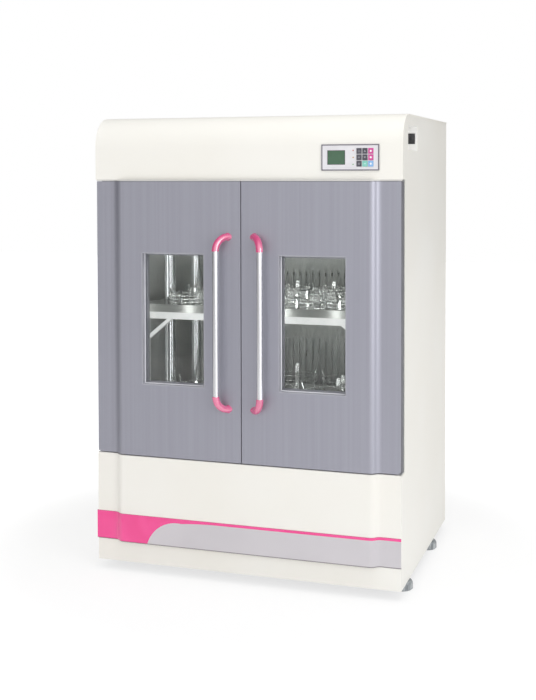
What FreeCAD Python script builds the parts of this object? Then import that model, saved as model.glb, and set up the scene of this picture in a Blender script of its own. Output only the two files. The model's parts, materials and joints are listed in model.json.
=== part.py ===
"""Two-deck incubated shaker: a floor-standing cabinet with two hinged glazed doors over a heated chamber.

Frame: X to the right as seen from the front, Y to the back, Z up, in millimetres.
The origin is the middle of the bounding box, at floor level.
"""
import FreeCAD, Part
import math
import os

V = FreeCAD.Vector
X_AXIS = V(1, 0, 0)
Y_AXIS = V(0, 1, 0)
Z_AXIS = V(0, 0, 1)
HALF_TURN = 180.0
QUARTER_TURN = 90.0
DIAGONAL_SHARE = math.sqrt(0.5)

# Cabinet shell
cabinet_width = 1080.0
cabinet_depth = 843.0
sheet = 2.0
foot_height = 32.0
plinth_height = 74.0
panel_seam = 2.0
lower_panel_height = 298.0
door_gap = 6.0
door_height = 946.0
head_height = 214.0
head_round = 98.0
head_overhang = 3.0
niche_depth = 50.0
overrun = 5.0
run_gap = 0.3
shaft_clearance = 0.05

# Raised middle zone of the doors and the lower panel
door_step = 19.0
step_side_inset = 64.0
step_run = 40.0

# Doors
door_side_inset = 2.0
door_seam = 3.0
door_thickness = 42.0
door_sheet = 1.5
door_corner_cut = 8.0
inner_panel_sheet = 1.5
window_width = 231.0
window_height = 457.0
window_seam_distance = 129.5
window_sill = 246.0
window_corner = 5.0
window_wall = 3.0
window_ledge = 7.0
glass_recess = 22.0
pane = 4.0
pane_spacing = 12.0
gasket_width = 22.0
gasket_edge = 2.5
gasket_hinge_edge = 16.0

# Hinges
hinge_edge = 14.0
hinge_pin_radius = 4.0
hinge_pin_reach = 22.0
hinge_plate = 4.0
hinge_plate_width = 26.0
hinge_plate_overlap = 9.0
hinge_hole_play = 1.5
hinge_block_height = 24.0
hinge_block_width = 22.0

# Handles
handle_tube_radius = 10.5
handle_tube_wall = 1.5
handle_tube_length = 486.0
handle_tube_rise = 227.5
handle_standoff = 36.0
handle_seam_distance = 76.0
handle_foot_shift = 30.0
handle_end_radius = 12.0
handle_foot_radius = 13.5
handle_foot_height = 3.0
handle_plug_length = 18.0

# Trim on the lower panel
trim_height = 97.0
trim_line = 9.5
trim_sheet = 1.5
trim_wrap = 3.5
trim_arch_foot_inset = 195.0
trim_arch_side_inset = 229.0
trim_arch_side_rise = 53.0
trim_arch_shoulder_inset = 321.0
trim_arch_shoulder_drop = 6.5
trim_arch_end_inset = 450.0

# Chamber
liner_sheet = 1.2
chamber_side_wall = 70.0
chamber_back_wall = 75.0
chamber_floor_rise = 56.0
chamber_ceiling_drop = 26.0
duct_depth = 48.0
duct_slot_width = 7.0
duct_slot_pitch = 26.0
duct_slot_length = 210.0
duct_slot_gap = 60.0
duct_margin = 40.0

# Base pan and feet
base_sheet = 3.0
base_rim = 50.0
base_cross_width = 60.0
foot_radius = 40.0
foot_tread_radius = 37.0
foot_side_height = 17.0
foot_tread_edge = 3.0
foot_side_inset = 27.0
foot_front_inset = 128.0
foot_back_inset = 265.0
foot_stem_radius = 8.0
foot_boss = 44.0
foot_boss_height = 20.0

# Drive stand and bearings
drive_plate = 10.0
drive_plate_level = 258.0
drive_plate_overhang = 90.0
drive_plate_front_overhang = 110.0
stand_leg = 40.0
stand_leg_wall = 3.0
bearing_flange = 10.0
bearing_flange_radius = 58.0
bearing_barrel_radius = 38.0
bearing_barrel_length = 52.0
orbit_radius = 13.0
main_shaft_radius = 20.0
idler_shaft_radius = 15.0
shaft_tail = 5.0
shaft_hole_play = 3.0
floor_collar_wall = 5.0
floor_collar_height = 8.0
crank_rise = 12.0
crank_disc = 12.0
main_disc_radius = 48.0
counterweight_radius = 112.0
idler_disc_radius = 36.0
main_pin_radius = 12.5
idler_pin_radius = 10.0
idler_edge_inset = 150.0
idler_front_inset = 130.0
hub_wall = 14.0
hub_length = 42.0
pulley_rise = 8.0
pulley_width = 24.0
pulley_rim = 2.5
main_pulley_radius = 110.0
motor_pulley_radius = 38.0
belt_width = 18.0
belt_thickness = 4.0
pulley_web = 10.0
pulley_rim_wall = 12.0
pulley_hub_radius = 34.0
motor_inboard = 35.0
motor_behind = 165.0
motor_radius = 72.0
motor_flange = 12.0
motor_flange_radius = 82.0
motor_length = 178.0
motor_shaft_radius = 12.0
motor_shaft_depth = 60.0
motor_box_length = 90.0
motor_box_width = 70.0
motor_box_height = 40.0

# Platform and decks
deck_side_room = 42.0
tray_depth = 560.0
tray_lip = 27.0
tray_sheet = 2.0
tray_corner = 25.0
platform_plate = 8.0
platform_rim = 30.0
platform_rim_wall = 4.0
deck_rise = 358.0
deck_sheet = 2.0
deck_edge = 24.0
deck_side_reach = 8.0
deck_leg = 26.0
deck_brace = 18.0
brace_run = 76.0
brace_drop = 62.0
post_radius = 21.0
post_wall = 2.0
post_side_inset = 42.0
post_end_inset = 150.0
post_above_deck = 260.0
post_cap = 3.0
post_hole_play = 0.3
upper_clamp_side_inset = 130.0
upper_clamp_end_inset = 100.0
upper_clamp_radius = 62.0
upper_clamp_height = 72.0
lower_clamp_side_inset = 185.0
lower_clamp_end_inset = 145.0
lower_clamp_radius = 100.0
lower_clamp_height = 110.0
clamp_gap = 6.0
clamp_sheet = 1.5
clamp_finger_width = 22.0
clamp_pinch = 3.0
clamp_flare = 5.0
clamp_pinch_share = 0.72
clamp_count_per_ring = 4

# Air circulation
fan_level = 740.0
fan_radius = 88.0
fan_depth = 26.0
fan_hub_radius = 24.0
fan_disc = 2.0
fan_blades = 12
fan_blade_sheet = 2.0
fan_wall_gap = 8.0
fan_shaft_radius = 5.0
fan_shaft_reach = 34.0
fan_hole_play = 3.0
fan_motor_radius = 42.0
fan_motor_length = 52.0
heater_level = 480.0
heater_run = 560.0
heater_pitch = 44.0
heater_rows = 4
heater_tube_radius = 5.0
heater_strap = 12.0
heater_strap_across = 220.0
probe_level = 700.0
probe_depth = 560.0
probe_radius = 3.0
probe_length = 38.0
probe_flange = 3.0
probe_flange_radius = 11.0

# Control panel on the head
panel_side_inset = 170.0
panel_centre_rise = 71.5
panel_width = 192.0
panel_height = 85.0
panel_plate = 3.0
panel_rim = 3.5
panel_rim_proud = 0.8
panel_cutout_margin = 9.0
lcd_centre_offset = -46.5
lcd_width = 60.0
lcd_height = 47.0
lcd_glass_recess = 0.8
lcd_body_margin = 3.0
lcd_body = 6.0
key_columns = 3
key_rows = 3
key_pitch_x = 19.5
key_pitch_z = 20.6
key_width = 16.6
key_height = 18.0
key_proud = 1.4
key_play = 0.3
key_flange = 1.0
key_flange_thickness = 1.2
key_stem_radius = 3.0
key_travel = 1.2
key_centre_offset = 49.3
lamp_offset = 10.0
lamp_radius = 1.8
lamp_pitch = 22.6
board_gap = 12.0
board_thickness = 1.6
board_margin = 3.0
board_post_radius = 3.0
board_post_inset = 7.0

# Side pocket with the mains switch
pocket_front = 98.0
pocket_length = 166.0
pocket_rise = 96.0
pocket_height = 82.0
pocket_depth = 44.0
pocket_wall = 2.0
switch_width = 24.0
switch_reach = 17.0
switch_nose = 9.0
switch_shoulder = 5.0
switch_body = 3.0
switch_tilt = 8.0
switch_wall = 2.5
switch_play = 0.5
switch_box_depth = 16.0
switch_axle_radius = 2.0

# Back panel
inlet_side_inset = 180.0
inlet_level = 126.0
inlet_width = 40.0
inlet_height = 32.0
inlet_depth = 24.0
inlet_flange = 3.0
inlet_flange_side = 12.0
inlet_flange_top = 4.0
inlet_socket_width = 26.0
inlet_socket_height = 18.0
inlet_socket_depth = 18.0
louvre_length = 90.0
louvre_height = 5.0
louvre_pitch = 16.0
louvre_rows = 8
louvre_columns = 3
louvre_spacing = 120.0
lower_louvre_level = 150.0
head_louvre_drop = 60.0
head_louvre_rows = 5

# Levels
base_level = foot_height
plinth_top = base_level + plinth_height
lower_bottom = plinth_top + panel_seam
lower_top = lower_bottom + lower_panel_height + panel_seam
door_bottom = lower_top + door_gap
door_top = door_bottom + door_height
head_bottom = door_top + door_gap
overall_height = head_bottom + head_height
chamber_floor = lower_top + chamber_floor_rise
chamber_ceiling = head_bottom - chamber_ceiling_drop

# Places from front to back
handle_reach = handle_standoff + handle_end_radius
overall_depth = cabinet_depth + door_step + handle_reach + inlet_flange
back_plane = overall_depth / 2 - inlet_flange
front_plane = back_plane - cabinet_depth
proud_plane = front_plane - door_step
niche_plane = front_plane + niche_depth
door_back = front_plane + door_thickness
chamber_front = niche_plane + sheet
chamber_back = back_plane - chamber_back_wall
duct_plane = chamber_back - duct_depth
half_width = cabinet_width / 2
side_inner = half_width - sheet
step_outer = half_width - step_side_inset
step_inner = step_outer - step_run
trim_arch_foot = half_width - trim_arch_foot_inset
trim_arch_side = half_width - trim_arch_side_inset
trim_arch_shoulder = half_width - trim_arch_shoulder_inset
trim_arch_end = half_width - trim_arch_end_inset
inlet_x = half_width - inlet_side_inset
panel_centre_x = half_width - panel_side_inset
chamber_half = half_width - chamber_side_wall
tray_half = chamber_half - deck_side_room - deck_side_reach
post_across = tray_half - post_side_inset
post_along = tray_depth / 2 - post_end_inset
idler_x = tray_half - idler_edge_inset
idler_forward = tray_depth / 2 - idler_front_inset
drive_plate_width = 2 * (idler_x + drive_plate_overhang)
drive_plate_depth = 2 * (idler_forward + drive_plate_front_overhang)
door_edge = half_width - door_side_inset
door_free = door_seam / 2
hinge_x = door_edge - hinge_edge
hinge_y = front_plane + door_thickness / 2

# Drive and platform places
drive_y = (chamber_front + duct_plane) / 2
platform_y = drive_y + orbit_radius
plate_bottom = base_level + base_rim + drive_plate_level
plate_top = plate_bottom + drive_plate
crank_bottom = chamber_floor + crank_rise
crank_top = crank_bottom + crank_disc
hub_bottom = crank_top + run_gap
platform_bottom = hub_bottom + hub_length
platform_top = platform_bottom + platform_plate
deck_top = platform_top + deck_rise
pin_top = platform_bottom - run_gap
idler_y = drive_y - idler_forward
motor_x = -(idler_x - motor_inboard)
motor_y = drive_y + motor_behind
pulley_bottom = plate_top + pulley_rise
belt_bottom = pulley_bottom + (pulley_width - belt_width) / 2
panel_centre_z = head_bottom + panel_centre_rise
plate_front = front_plane - panel_plate
plate_back = front_plane


def block(x0, x1, y0, y1, z0, z1):
    """A box between two corners."""
    return Part.makeBox(x1 - x0, y1 - y0, z1 - z0, V(x0, y0, z0))


def rod(radius, x, y, z0, z1):
    """An upright cylinder."""
    return Part.makeCylinder(radius, z1 - z0, V(x, y, z0), Z_AXIS)


def rod_y(radius, x, z, y0, y1):
    """A cylinder along Y."""
    return Part.makeCylinder(radius, y1 - y0, V(x, y0, z), Y_AXIS)


def ring(outer, inner, x, y, z0, z1):
    """An upright tube."""
    return rod(outer, x, y, z0, z1).cut(rod(inner, x, y, z0 - overrun, z1 + overrun))


def polygon(points):
    """A flat face through points given in order."""
    return Part.Face(Part.makePolygon(list(points) + [points[0]]))


def edges_along(body, axis):
    """The straight edges of a box that run along an axis."""
    found = []
    for edge in body.Edges:
        way = edge.tangentAt(edge.FirstParameter)
        if abs(way.dot(axis)) > way.cross(axis).Length:
            found.append(edge)
    return found


def rounded_prism_z(x0, x1, y0, y1, z0, z1, radius):
    """An upright box with rounded upright edges."""
    body = block(x0, x1, y0, y1, z0, z1)
    return body.makeFillet(radius, edges_along(body, Z_AXIS))


def rounded_prism_y(x0, x1, y0, y1, z0, z1, radius):
    """A box along Y with its four long edges rounded."""
    body = block(x0, x1, y0, y1, z0, z1)
    return body.makeFillet(radius, edges_along(body, Y_AXIS))


def joined(shapes):
    """All shapes fused into one clean solid."""
    first, rest = shapes[0], list(shapes[1:])
    whole = first.fuse(rest) if rest else first
    return whole.removeSplitter()


def mirrored(shape):
    """The same piece on the other side of the cabinet."""
    return shape.mirror(V(0, 0, 0), X_AXIS)


def step_angle():
    """How far each of the two arcs of the front's step turns."""
    width = step_outer - step_inner
    radius = (width * width + door_step * door_step) / (4 * door_step)
    return math.asin(width / 2 / radius), radius


def step_edges(inward):
    """The step from the raised zone to the outer zone, on the right side, as two tangent arcs.

    Every point lies the given distance behind the outer surface.
    """
    angle, radius = step_angle()

    def first(turn):
        r = radius - inward
        return V(step_inner + r * math.sin(turn), proud_plane + radius - r * math.cos(turn), 0)

    def second(turn):
        r = radius + inward
        return V(step_outer - r * math.sin(turn), front_plane - radius + r * math.cos(turn), 0)

    bend_out = Part.Arc(first(0), first(angle / 2), first(angle)).toShape()
    bend_in = Part.Arc(second(angle), second(angle / 2), second(0)).toShape()
    return bend_out, bend_in


def line(x0, y0, x1, y1):
    """A straight edge in the plan view."""
    return Part.makeLine(V(x0, y0, 0), V(x1, y1, 0))


def front_outline(x_free, x_edge, y_back, inward):
    """The plan view of one half of the front, from the free edge to the outer edge and back along y_back."""
    bend_out, bend_in = step_edges(inward)
    y_raised = proud_plane + inward
    y_flat = front_plane + inward
    edges = [
        line(x_free, y_raised, step_inner, y_raised),
        bend_out,
        bend_in,
        line(step_outer, y_flat, x_edge, y_flat),
        line(x_edge, y_flat, x_edge, y_back),
        line(x_edge, y_back, x_free, y_back),
        line(x_free, y_back, x_free, y_raised),
    ]
    return Part.Face(Part.Wire(edges))


def lifted(face, z0, z1):
    """A plan outline raised into a solid between two levels."""
    face = face.copy()
    face.translate(V(0, 0, z0))
    return face.extrude(V(0, 0, z1 - z0))


def front_half(x_free, x_edge, y_back, inward, z0, z1):
    """One half of the curved front as a solid."""
    return lifted(front_outline(x_free, x_edge, y_back, inward), z0, z1)


def whole_front(x_edge, y_back, inward, z0, z1):
    """Both halves of the curved front as one solid."""
    right = front_half(0, x_edge, y_back, inward, z0, z1)
    return joined([right, mirrored(right)])


def foot(x, y):
    """A levelling foot: a domed pad on a threaded stem."""
    crown = foot_height - foot_side_height
    flat_top = foot_radius - crown
    points = [V(0, 0, 0), V(foot_tread_radius, 0, 0), V(foot_radius, 0, foot_tread_edge),
              V(foot_radius, 0, foot_side_height)]
    edges = [Part.makeLine(points[i], points[i + 1]) for i in range(len(points) - 1)]
    arc_mid = V(flat_top + crown * DIAGONAL_SHARE, 0, foot_side_height + crown * DIAGONAL_SHARE)
    arc_end = V(flat_top, 0, foot_height)
    edges.append(Part.Arc(points[-1], arc_mid, arc_end).toShape())
    edges.append(Part.makeLine(arc_end, V(0, 0, foot_height)))
    edges.append(Part.makeLine(V(0, 0, foot_height), V(0, 0, 0)))
    pad = Part.Face(Part.Wire(edges)).revolve(V(0, 0, 0), Z_AXIS, 2 * HALF_TURN)
    stem = Part.makeCylinder(foot_stem_radius, foot_boss_height, V(0, 0, foot_height), Z_AXIS)
    whole = joined([pad, stem])
    whole.translate(V(x, y, 0))
    return whole


def foot_places():
    """Where the four feet stand."""
    x = half_width - foot_side_inset
    return [(side * x, y) for side in (-1, 1)
            for y in (front_plane + foot_front_inset, back_plane - foot_back_inset)]


def leg_places():
    """Where the drive stand's four legs stand."""
    x = (drive_plate_width - stand_leg) / 2
    y = (drive_plate_depth - stand_leg) / 2
    return [(side * x, drive_y + end * y) for side in (-1, 1) for end in (-1, 1)]


def levelling_feet():
    return Part.makeCompound([foot(x, y) for x, y in foot_places()])


def base_pan():
    """The welded base: a floor sheet with upturned rims, two cross channels and a boss over each foot."""
    y_front = front_plane + sheet
    y_back = back_plane - sheet
    top = base_level + base_rim
    floor = block(-side_inner, side_inner, y_front, y_back, base_level, base_level + base_sheet)
    outer = block(-side_inner, side_inner, y_front, y_back, base_level, top)
    inner = block(-side_inner + base_sheet, side_inner - base_sheet, y_front + base_sheet,
                  y_back - base_sheet, base_level - overrun, top + overrun)
    pieces = [floor, outer.cut(inner)]
    for y in sorted({place[1] for place in leg_places()}):
        channel = block(-side_inner, side_inner, y - base_cross_width / 2, y + base_cross_width / 2,
                        base_level, top)
        hollow = block(-side_inner, side_inner, y - base_cross_width / 2 + base_sheet,
                       y + base_cross_width / 2 - base_sheet, base_level + base_sheet, top - base_sheet)
        pieces.append(channel.cut(hollow))
    for x, y in foot_places():
        side = 1 if x > 0 else -1
        wall = side * side_inner
        near, far = sorted((wall, wall - side * foot_boss))
        pieces.append(block(near, far, y - foot_boss / 2, y + foot_boss / 2,
                            base_level, base_level + foot_boss_height))
    body = joined(pieces)
    for x, y in foot_places():
        body = body.cut(rod(foot_stem_radius + shaft_clearance, x, y, base_level - overrun,
                            base_level + foot_boss_height + overrun))
    return body


def plinth():
    """The straight front skirt, with a top return under the lower panel."""
    face = block(-half_width, half_width, front_plane, front_plane + sheet, base_level, plinth_top)
    shelf = block(-side_inner, side_inner, front_plane, front_plane + base_cross_width,
                  plinth_top - sheet, plinth_top)
    return joined([face, shelf])


def lower_front():
    """The curved lower panel with its top shelf under the doors and its bottom return."""
    shell = whole_front(half_width, front_plane + niche_depth, 0, lower_bottom, lower_top)
    inside = whole_front(half_width + overrun, front_plane + niche_depth + overrun, sheet,
                         lower_bottom + sheet, lower_top - sheet)
    body = shell.cut(inside)
    trimmed = [block(side_inner, half_width + overrun, front_plane + sheet, niche_plane + overrun,
                     lower_bottom - overrun, lower_top + overrun)]
    trimmed.append(mirrored(trimmed[0]))
    for tool in trimmed:
        body = body.cut(tool)
    return body.removeSplitter()


def band_sheet(wrap):
    """The curved sheet that both trim pieces are cut from, on the outside of the lower panel."""
    outer = whole_front(half_width, front_plane, -trim_sheet, lower_bottom, lower_bottom + trim_height)
    core = whole_front(half_width + overrun, front_plane + overrun, 0, lower_bottom - overrun,
                       lower_bottom + trim_height + overrun)
    body = outer.cut(core)
    if wrap:
        end = block(-half_width - trim_wrap, -half_width, front_plane - trim_sheet, front_plane + trim_wrap,
                    lower_bottom, lower_bottom + trim_height)
        body = joined([body, end])
    return body


def band_window():
    """The region of the grey band in the front view, as a cutter along Y."""
    z0 = lower_bottom
    z_line = lower_bottom + trim_height - trim_line
    depth = door_step + trim_sheet + overrun
    y = proud_plane - trim_sheet - overrun

    def at(x, z):
        return V(x, y, z)

    shoulder = at(-trim_arch_shoulder, z_line - trim_arch_shoulder_drop)
    side = at(-trim_arch_side, z0 + trim_arch_side_rise)
    rise = Part.Arc(at(-trim_arch_foot, z0), side, shoulder).toShape()
    ease_x = (trim_arch_shoulder + trim_arch_end) / 2
    ease = Part.BSplineCurve()
    ease.buildFromPoles([shoulder, at(-ease_x, z_line), at(-trim_arch_end, z_line)], False, 2)
    edges = [
        rise,
        ease.toShape(),
        Part.makeLine(at(-trim_arch_end, z_line), at(half_width + overrun, z_line)),
        Part.makeLine(at(half_width + overrun, z_line), at(half_width + overrun, z0)),
        Part.makeLine(at(half_width + overrun, z0), at(-trim_arch_foot, z0)),
    ]
    return Part.Face(Part.Wire(edges)).extrude(V(0, depth + overrun, 0))


def side_blank(x, thickness):
    """A side sheet with the door niche and the rounded head, before any opening."""
    y_front = front_plane + sheet
    round_radius = head_round - sheet
    top = overall_height - sheet
    back = back_plane - sheet
    bend = y_front + round_radius
    mid = round_radius - round_radius * DIAGONAL_SHARE

    def at(y, z):
        return V(x, y, z)

    points = [at(bend, top), at(back, top), at(back, base_level), at(y_front, base_level),
              at(y_front, lower_top - sheet), at(niche_plane, lower_top - sheet),
              at(niche_plane, head_bottom + sheet), at(y_front, head_bottom + sheet),
              at(y_front, top - round_radius)]
    edges = [Part.makeLine(points[i], points[i + 1]) for i in range(len(points) - 1)]
    edges.append(Part.Arc(points[-1], at(y_front + mid, top - mid), points[0]).toShape())
    return Part.Face(Part.Wire(edges)).extrude(V(thickness, 0, 0))


def pocket_box(grow, x_outer):
    """The side pocket's space in the head, grown by a wall."""
    y0 = front_plane + pocket_front
    z0 = head_bottom + pocket_rise
    return block(half_width - pocket_depth - grow, x_outer, y0 - grow, y0 + pocket_length + grow,
                 z0 - grow, z0 + pocket_height + grow)


def side_panel(side):
    """One side of the cabinet. The right one has the pocket's opening."""
    x = side_inner if side > 0 else -half_width
    body = side_blank(x, sheet)
    if side > 0:
        body = body.cut(pocket_box(0, half_width + overrun))
    return body


def slot_rows(x_places, z_places, length, height, y0, y1):
    """Level slots as one cutting tool."""
    return Part.makeCompound([block(x - length / 2, x + length / 2, y0, y1, z - height / 2, z + height / 2)
                              for x in x_places for z in z_places])


def back_cover():
    """The rear sheet with two fields of slots and the inlet's opening."""
    y0 = back_plane - sheet
    body = block(-half_width, half_width, y0, back_plane, base_level, overall_height - sheet)
    columns = [(i - (louvre_columns - 1) / 2) * louvre_spacing for i in range(louvre_columns)]
    low = [lower_louvre_level + i * louvre_pitch for i in range(louvre_rows)]
    high = [overall_height - head_louvre_drop - i * louvre_pitch for i in range(head_louvre_rows)]
    body = body.cut(slot_rows(columns, low + high, louvre_length, louvre_height, y0 - overrun,
                              back_plane + overrun))
    opening = block(inlet_x - inlet_width / 2, inlet_x + inlet_width / 2, y0 - overrun,
                    back_plane + overrun, inlet_level, inlet_level + inlet_height)
    return body.cut(opening)


def head_outline(grow):
    """The head cover's side view, seen along X, moved inwards by a thickness."""
    x = -half_width - head_overhang
    y_front = front_plane + grow
    top = overall_height - grow
    radius = head_round - grow
    mid = radius - radius * DIAGONAL_SHARE
    low = head_bottom + grow

    def at(y, z):
        return V(x, y, z)

    y_back = back_plane + (overrun if grow else 0)
    points = [at(y_front + radius, top), at(y_back, top), at(y_back, low), at(y_front, low),
              at(y_front, top - radius)]
    edges = [Part.makeLine(points[i], points[i + 1]) for i in range(len(points) - 1)]
    edges.append(Part.Arc(points[-1], at(y_front + mid, top - mid), points[0]).toShape())
    return Part.Face(Part.Wire(edges)).extrude(V(cabinet_width + 2 * head_overhang, 0, 0))


def panel_cutout(margin, y0, y1):
    """A rectangle behind the control panel, smaller than it by a margin."""
    w = panel_width / 2 - margin
    h = panel_height / 2 - margin
    return block(panel_centre_x - w, panel_centre_x + w, y0, y1, panel_centre_z - h, panel_centre_z + h)


def head_cover():
    """The folded cover of the head: front, round, top, and a return over the doors."""
    shell = head_outline(0).cut(head_outline(sheet))
    behind = block(-half_width - 2 * head_overhang, half_width + 2 * head_overhang, niche_plane + sheet,
                   back_plane + overrun, head_bottom - overrun, head_bottom + overrun)
    body = shell.cut(behind)
    inner_half = half_width - sheet
    cheek = block(inner_half, half_width, front_plane + sheet, niche_plane + overrun, head_bottom - overrun,
                  head_bottom + sheet)
    body = body.cut(panel_cutout(panel_cutout_margin, front_plane - overrun, front_plane + sheet + overrun))
    return body.cut(cheek).cut(mirrored(cheek)).removeSplitter()


def chamber_liner():
    """The stainless chamber with its front frame, shaft collars and the fan shaft's hole."""
    outer = block(-chamber_half - liner_sheet, chamber_half + liner_sheet, niche_plane,
                  chamber_back + liner_sheet, chamber_floor - liner_sheet, chamber_ceiling + liner_sheet)
    frame = block(-side_inner, side_inner, niche_plane, chamber_front, lower_top, head_bottom)
    collars = [rod(radius + shaft_hole_play + floor_collar_wall, x, y, chamber_floor - liner_sheet,
                   chamber_floor + floor_collar_height) for x, y, radius in shaft_places()]
    inside = block(-chamber_half, chamber_half, niche_plane - overrun, chamber_back, chamber_floor,
                   chamber_ceiling)
    body = outer.fuse(frame).cut(inside).fuse(collars).removeSplitter()
    for x, y, radius in shaft_places():
        body = body.cut(rod(radius + shaft_hole_play, x, y, chamber_floor - overrun,
                            chamber_floor + floor_collar_height + overrun))
    hole = rod_y(fan_shaft_radius + fan_hole_play, 0, chamber_floor + fan_level, chamber_back - overrun,
                 chamber_back + liner_sheet + overrun)
    return body.cut(hole)


def shaft_places():
    """The main shaft and the two idler shafts: x, y and radius."""
    return [(0, drive_y, main_shaft_radius), (-idler_x, idler_y, idler_shaft_radius),
            (idler_x, idler_y, idler_shaft_radius)]


def pin_places():
    """The three crank pins at rest: x, y and radius."""
    pins = (main_pin_radius, idler_pin_radius, idler_pin_radius)
    return [(x, y + orbit_radius, pin) for (x, y, _), pin in zip(shaft_places(), pins)]


def air_duct_panel():
    """The slotted sheet in front of the fan and heater."""
    z0 = chamber_floor
    z1 = chamber_ceiling
    body = block(-chamber_half, chamber_half, duct_plane, duct_plane + liner_sheet, z0, z1)
    count = int((2 * chamber_half - 2 * duct_margin) / duct_slot_pitch) + 1
    columns = [(i - (count - 1) / 2) * duct_slot_pitch for i in range(count)]
    rows = int((z1 - z0 - 2 * duct_margin + duct_slot_gap) / (duct_slot_length + duct_slot_gap))
    pitch = duct_slot_length + duct_slot_gap
    middle = (z0 + z1) / 2
    levels = [middle + (i - (rows - 1) / 2) * pitch for i in range(rows)]
    return body.cut(slot_rows(columns, levels, duct_slot_width, duct_slot_length, duct_plane - overrun,
                              duct_plane + liner_sheet + overrun))


def fan_impeller():
    """A radial impeller: a back disc, blades and a hub with its shaft into the motor."""
    z = chamber_floor + fan_level
    y1 = chamber_back - fan_wall_gap
    y0 = y1 - fan_depth
    disc = rod_y(fan_radius, 0, z, y1 - fan_disc, y1)
    hub = rod_y(fan_hub_radius, 0, z, y0, y1)
    shaft = rod_y(fan_shaft_radius, 0, z, y1, y1 + fan_wall_gap + liner_sheet + fan_shaft_reach)
    blade = block(fan_hub_radius - fan_blade_sheet, fan_radius - fan_blade_sheet, y0, y1,
                  z - fan_blade_sheet / 2, z + fan_blade_sheet / 2)
    pieces = [disc, hub, shaft]
    for i in range(fan_blades):
        copy = blade.copy()
        copy.rotate(V(0, 0, z), Y_AXIS, i * 2 * HALF_TURN / fan_blades)
        pieces.append(copy)
    return joined(pieces)


def fan_motor():
    """The fan's motor behind the chamber's rear wall."""
    z = chamber_floor + fan_level
    y0 = chamber_back + liner_sheet
    body = rod_y(fan_motor_radius, 0, z, y0, y0 + fan_motor_length)
    return body.cut(rod_y(fan_shaft_radius + shaft_clearance, 0, z, y0 - overrun,
                          y0 + fan_shaft_reach + run_gap))


def heater_element():
    """A tubular heater bent into rows, held off the rear wall by two straps."""
    y = chamber_back - heater_strap
    z0 = chamber_floor + heater_level
    edges = []
    half = heater_run / 2
    bend = heater_pitch / 2
    for row in range(heater_rows):
        z = z0 + row * heater_pitch
        side = 1 if row % 2 == 0 else -1
        edges.append(Part.makeLine(V(-side * half, y, z), V(side * half, y, z)))
        if row + 1 < heater_rows:
            edges.append(Part.Arc(V(side * half, y, z), V(side * (half + bend), y, z + bend),
                                  V(side * half, y, z + heater_pitch)).toShape())
    path = Part.Wire(edges)
    profile = Part.Wire([Part.makeCircle(heater_tube_radius, V(-half, y, z0), X_AXIS)])
    tube = path.makePipeShell([profile], True, False)
    top = z0 + (heater_rows - 1) * heater_pitch
    straps = [block(x - heater_strap / 2, x + heater_strap / 2, y, chamber_back,
                    z0 - heater_strap, top + heater_strap)
              for x in (-heater_strap_across, heater_strap_across)]
    return joined([tube] + straps)


def temperature_probe():
    """The chamber's sensor on the right wall."""
    y = front_plane + probe_depth
    z = chamber_floor + probe_level
    tip = V(chamber_half - probe_length, y, z)
    seat = V(chamber_half - probe_flange, y, z)
    stem = Part.makeCylinder(probe_radius, probe_length, tip, X_AXIS)
    flange = Part.makeCylinder(probe_flange_radius, probe_flange, seat, X_AXIS)
    return joined([stem, flange])


def drive_stand():
    """The drive's plate on four legs that stand on the base pan's channels."""
    x = drive_plate_width / 2
    y = drive_plate_depth / 2
    plate = block(-x, x, drive_y - y, drive_y + y, plate_bottom, plate_top)
    pieces = [plate]
    half = stand_leg / 2
    for px, py in leg_places():
        leg = block(px - half, px + half, py - half, py + half, base_level + base_rim, plate_bottom)
        core = block(px - half + stand_leg_wall, px + half - stand_leg_wall, py - half - overrun,
                     py + half - stand_leg_wall, base_level + base_rim - overrun, plate_bottom)
        pieces.append(leg.cut(core))
    body = joined(pieces)
    for px, py, radius in shaft_places():
        body = body.cut(rod(radius + shaft_hole_play, px, py, plate_bottom - overrun, plate_top + overrun))
    return body.cut(rod(motor_shaft_radius + shaft_hole_play, motor_x, motor_y, plate_bottom - overrun,
                        plate_top + overrun))


def crank_bearings():
    """Three flanged bearing housings under the drive plate."""
    housings = []
    for x, y, radius in shaft_places():
        flange = rod(bearing_flange_radius, x, y, plate_bottom - bearing_flange, plate_bottom)
        barrel = rod(bearing_barrel_radius, x, y, plate_bottom - bearing_flange - bearing_barrel_length,
                     plate_bottom - bearing_flange)
        bore = rod(radius + shaft_clearance, x, y,
                   plate_bottom - bearing_flange - bearing_barrel_length - overrun, plate_bottom + overrun)
        housings.append(joined([flange, barrel]).cut(bore))
    return Part.makeCompound(housings)


def crank(x, y, shaft_radius, disc_radius, pin_radius, weight_radius):
    """A crankshaft: a shaft in its bearing, a disc above the chamber floor and an offset pin."""
    low = plate_bottom - bearing_flange - bearing_barrel_length - shaft_tail
    pieces = [
        rod(shaft_radius, x, y, low, crank_bottom),
        rod(disc_radius, x, y, crank_bottom, crank_top),
        rod(pin_radius, x, y + orbit_radius, crank_top, pin_top),
    ]
    if weight_radius:
        half_disc = rod(weight_radius, x, y, crank_bottom, crank_top).common(
            block(x - weight_radius, x + weight_radius, y - weight_radius, y, crank_bottom, crank_top))
        pieces.append(half_disc)
    return joined(pieces)


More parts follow.
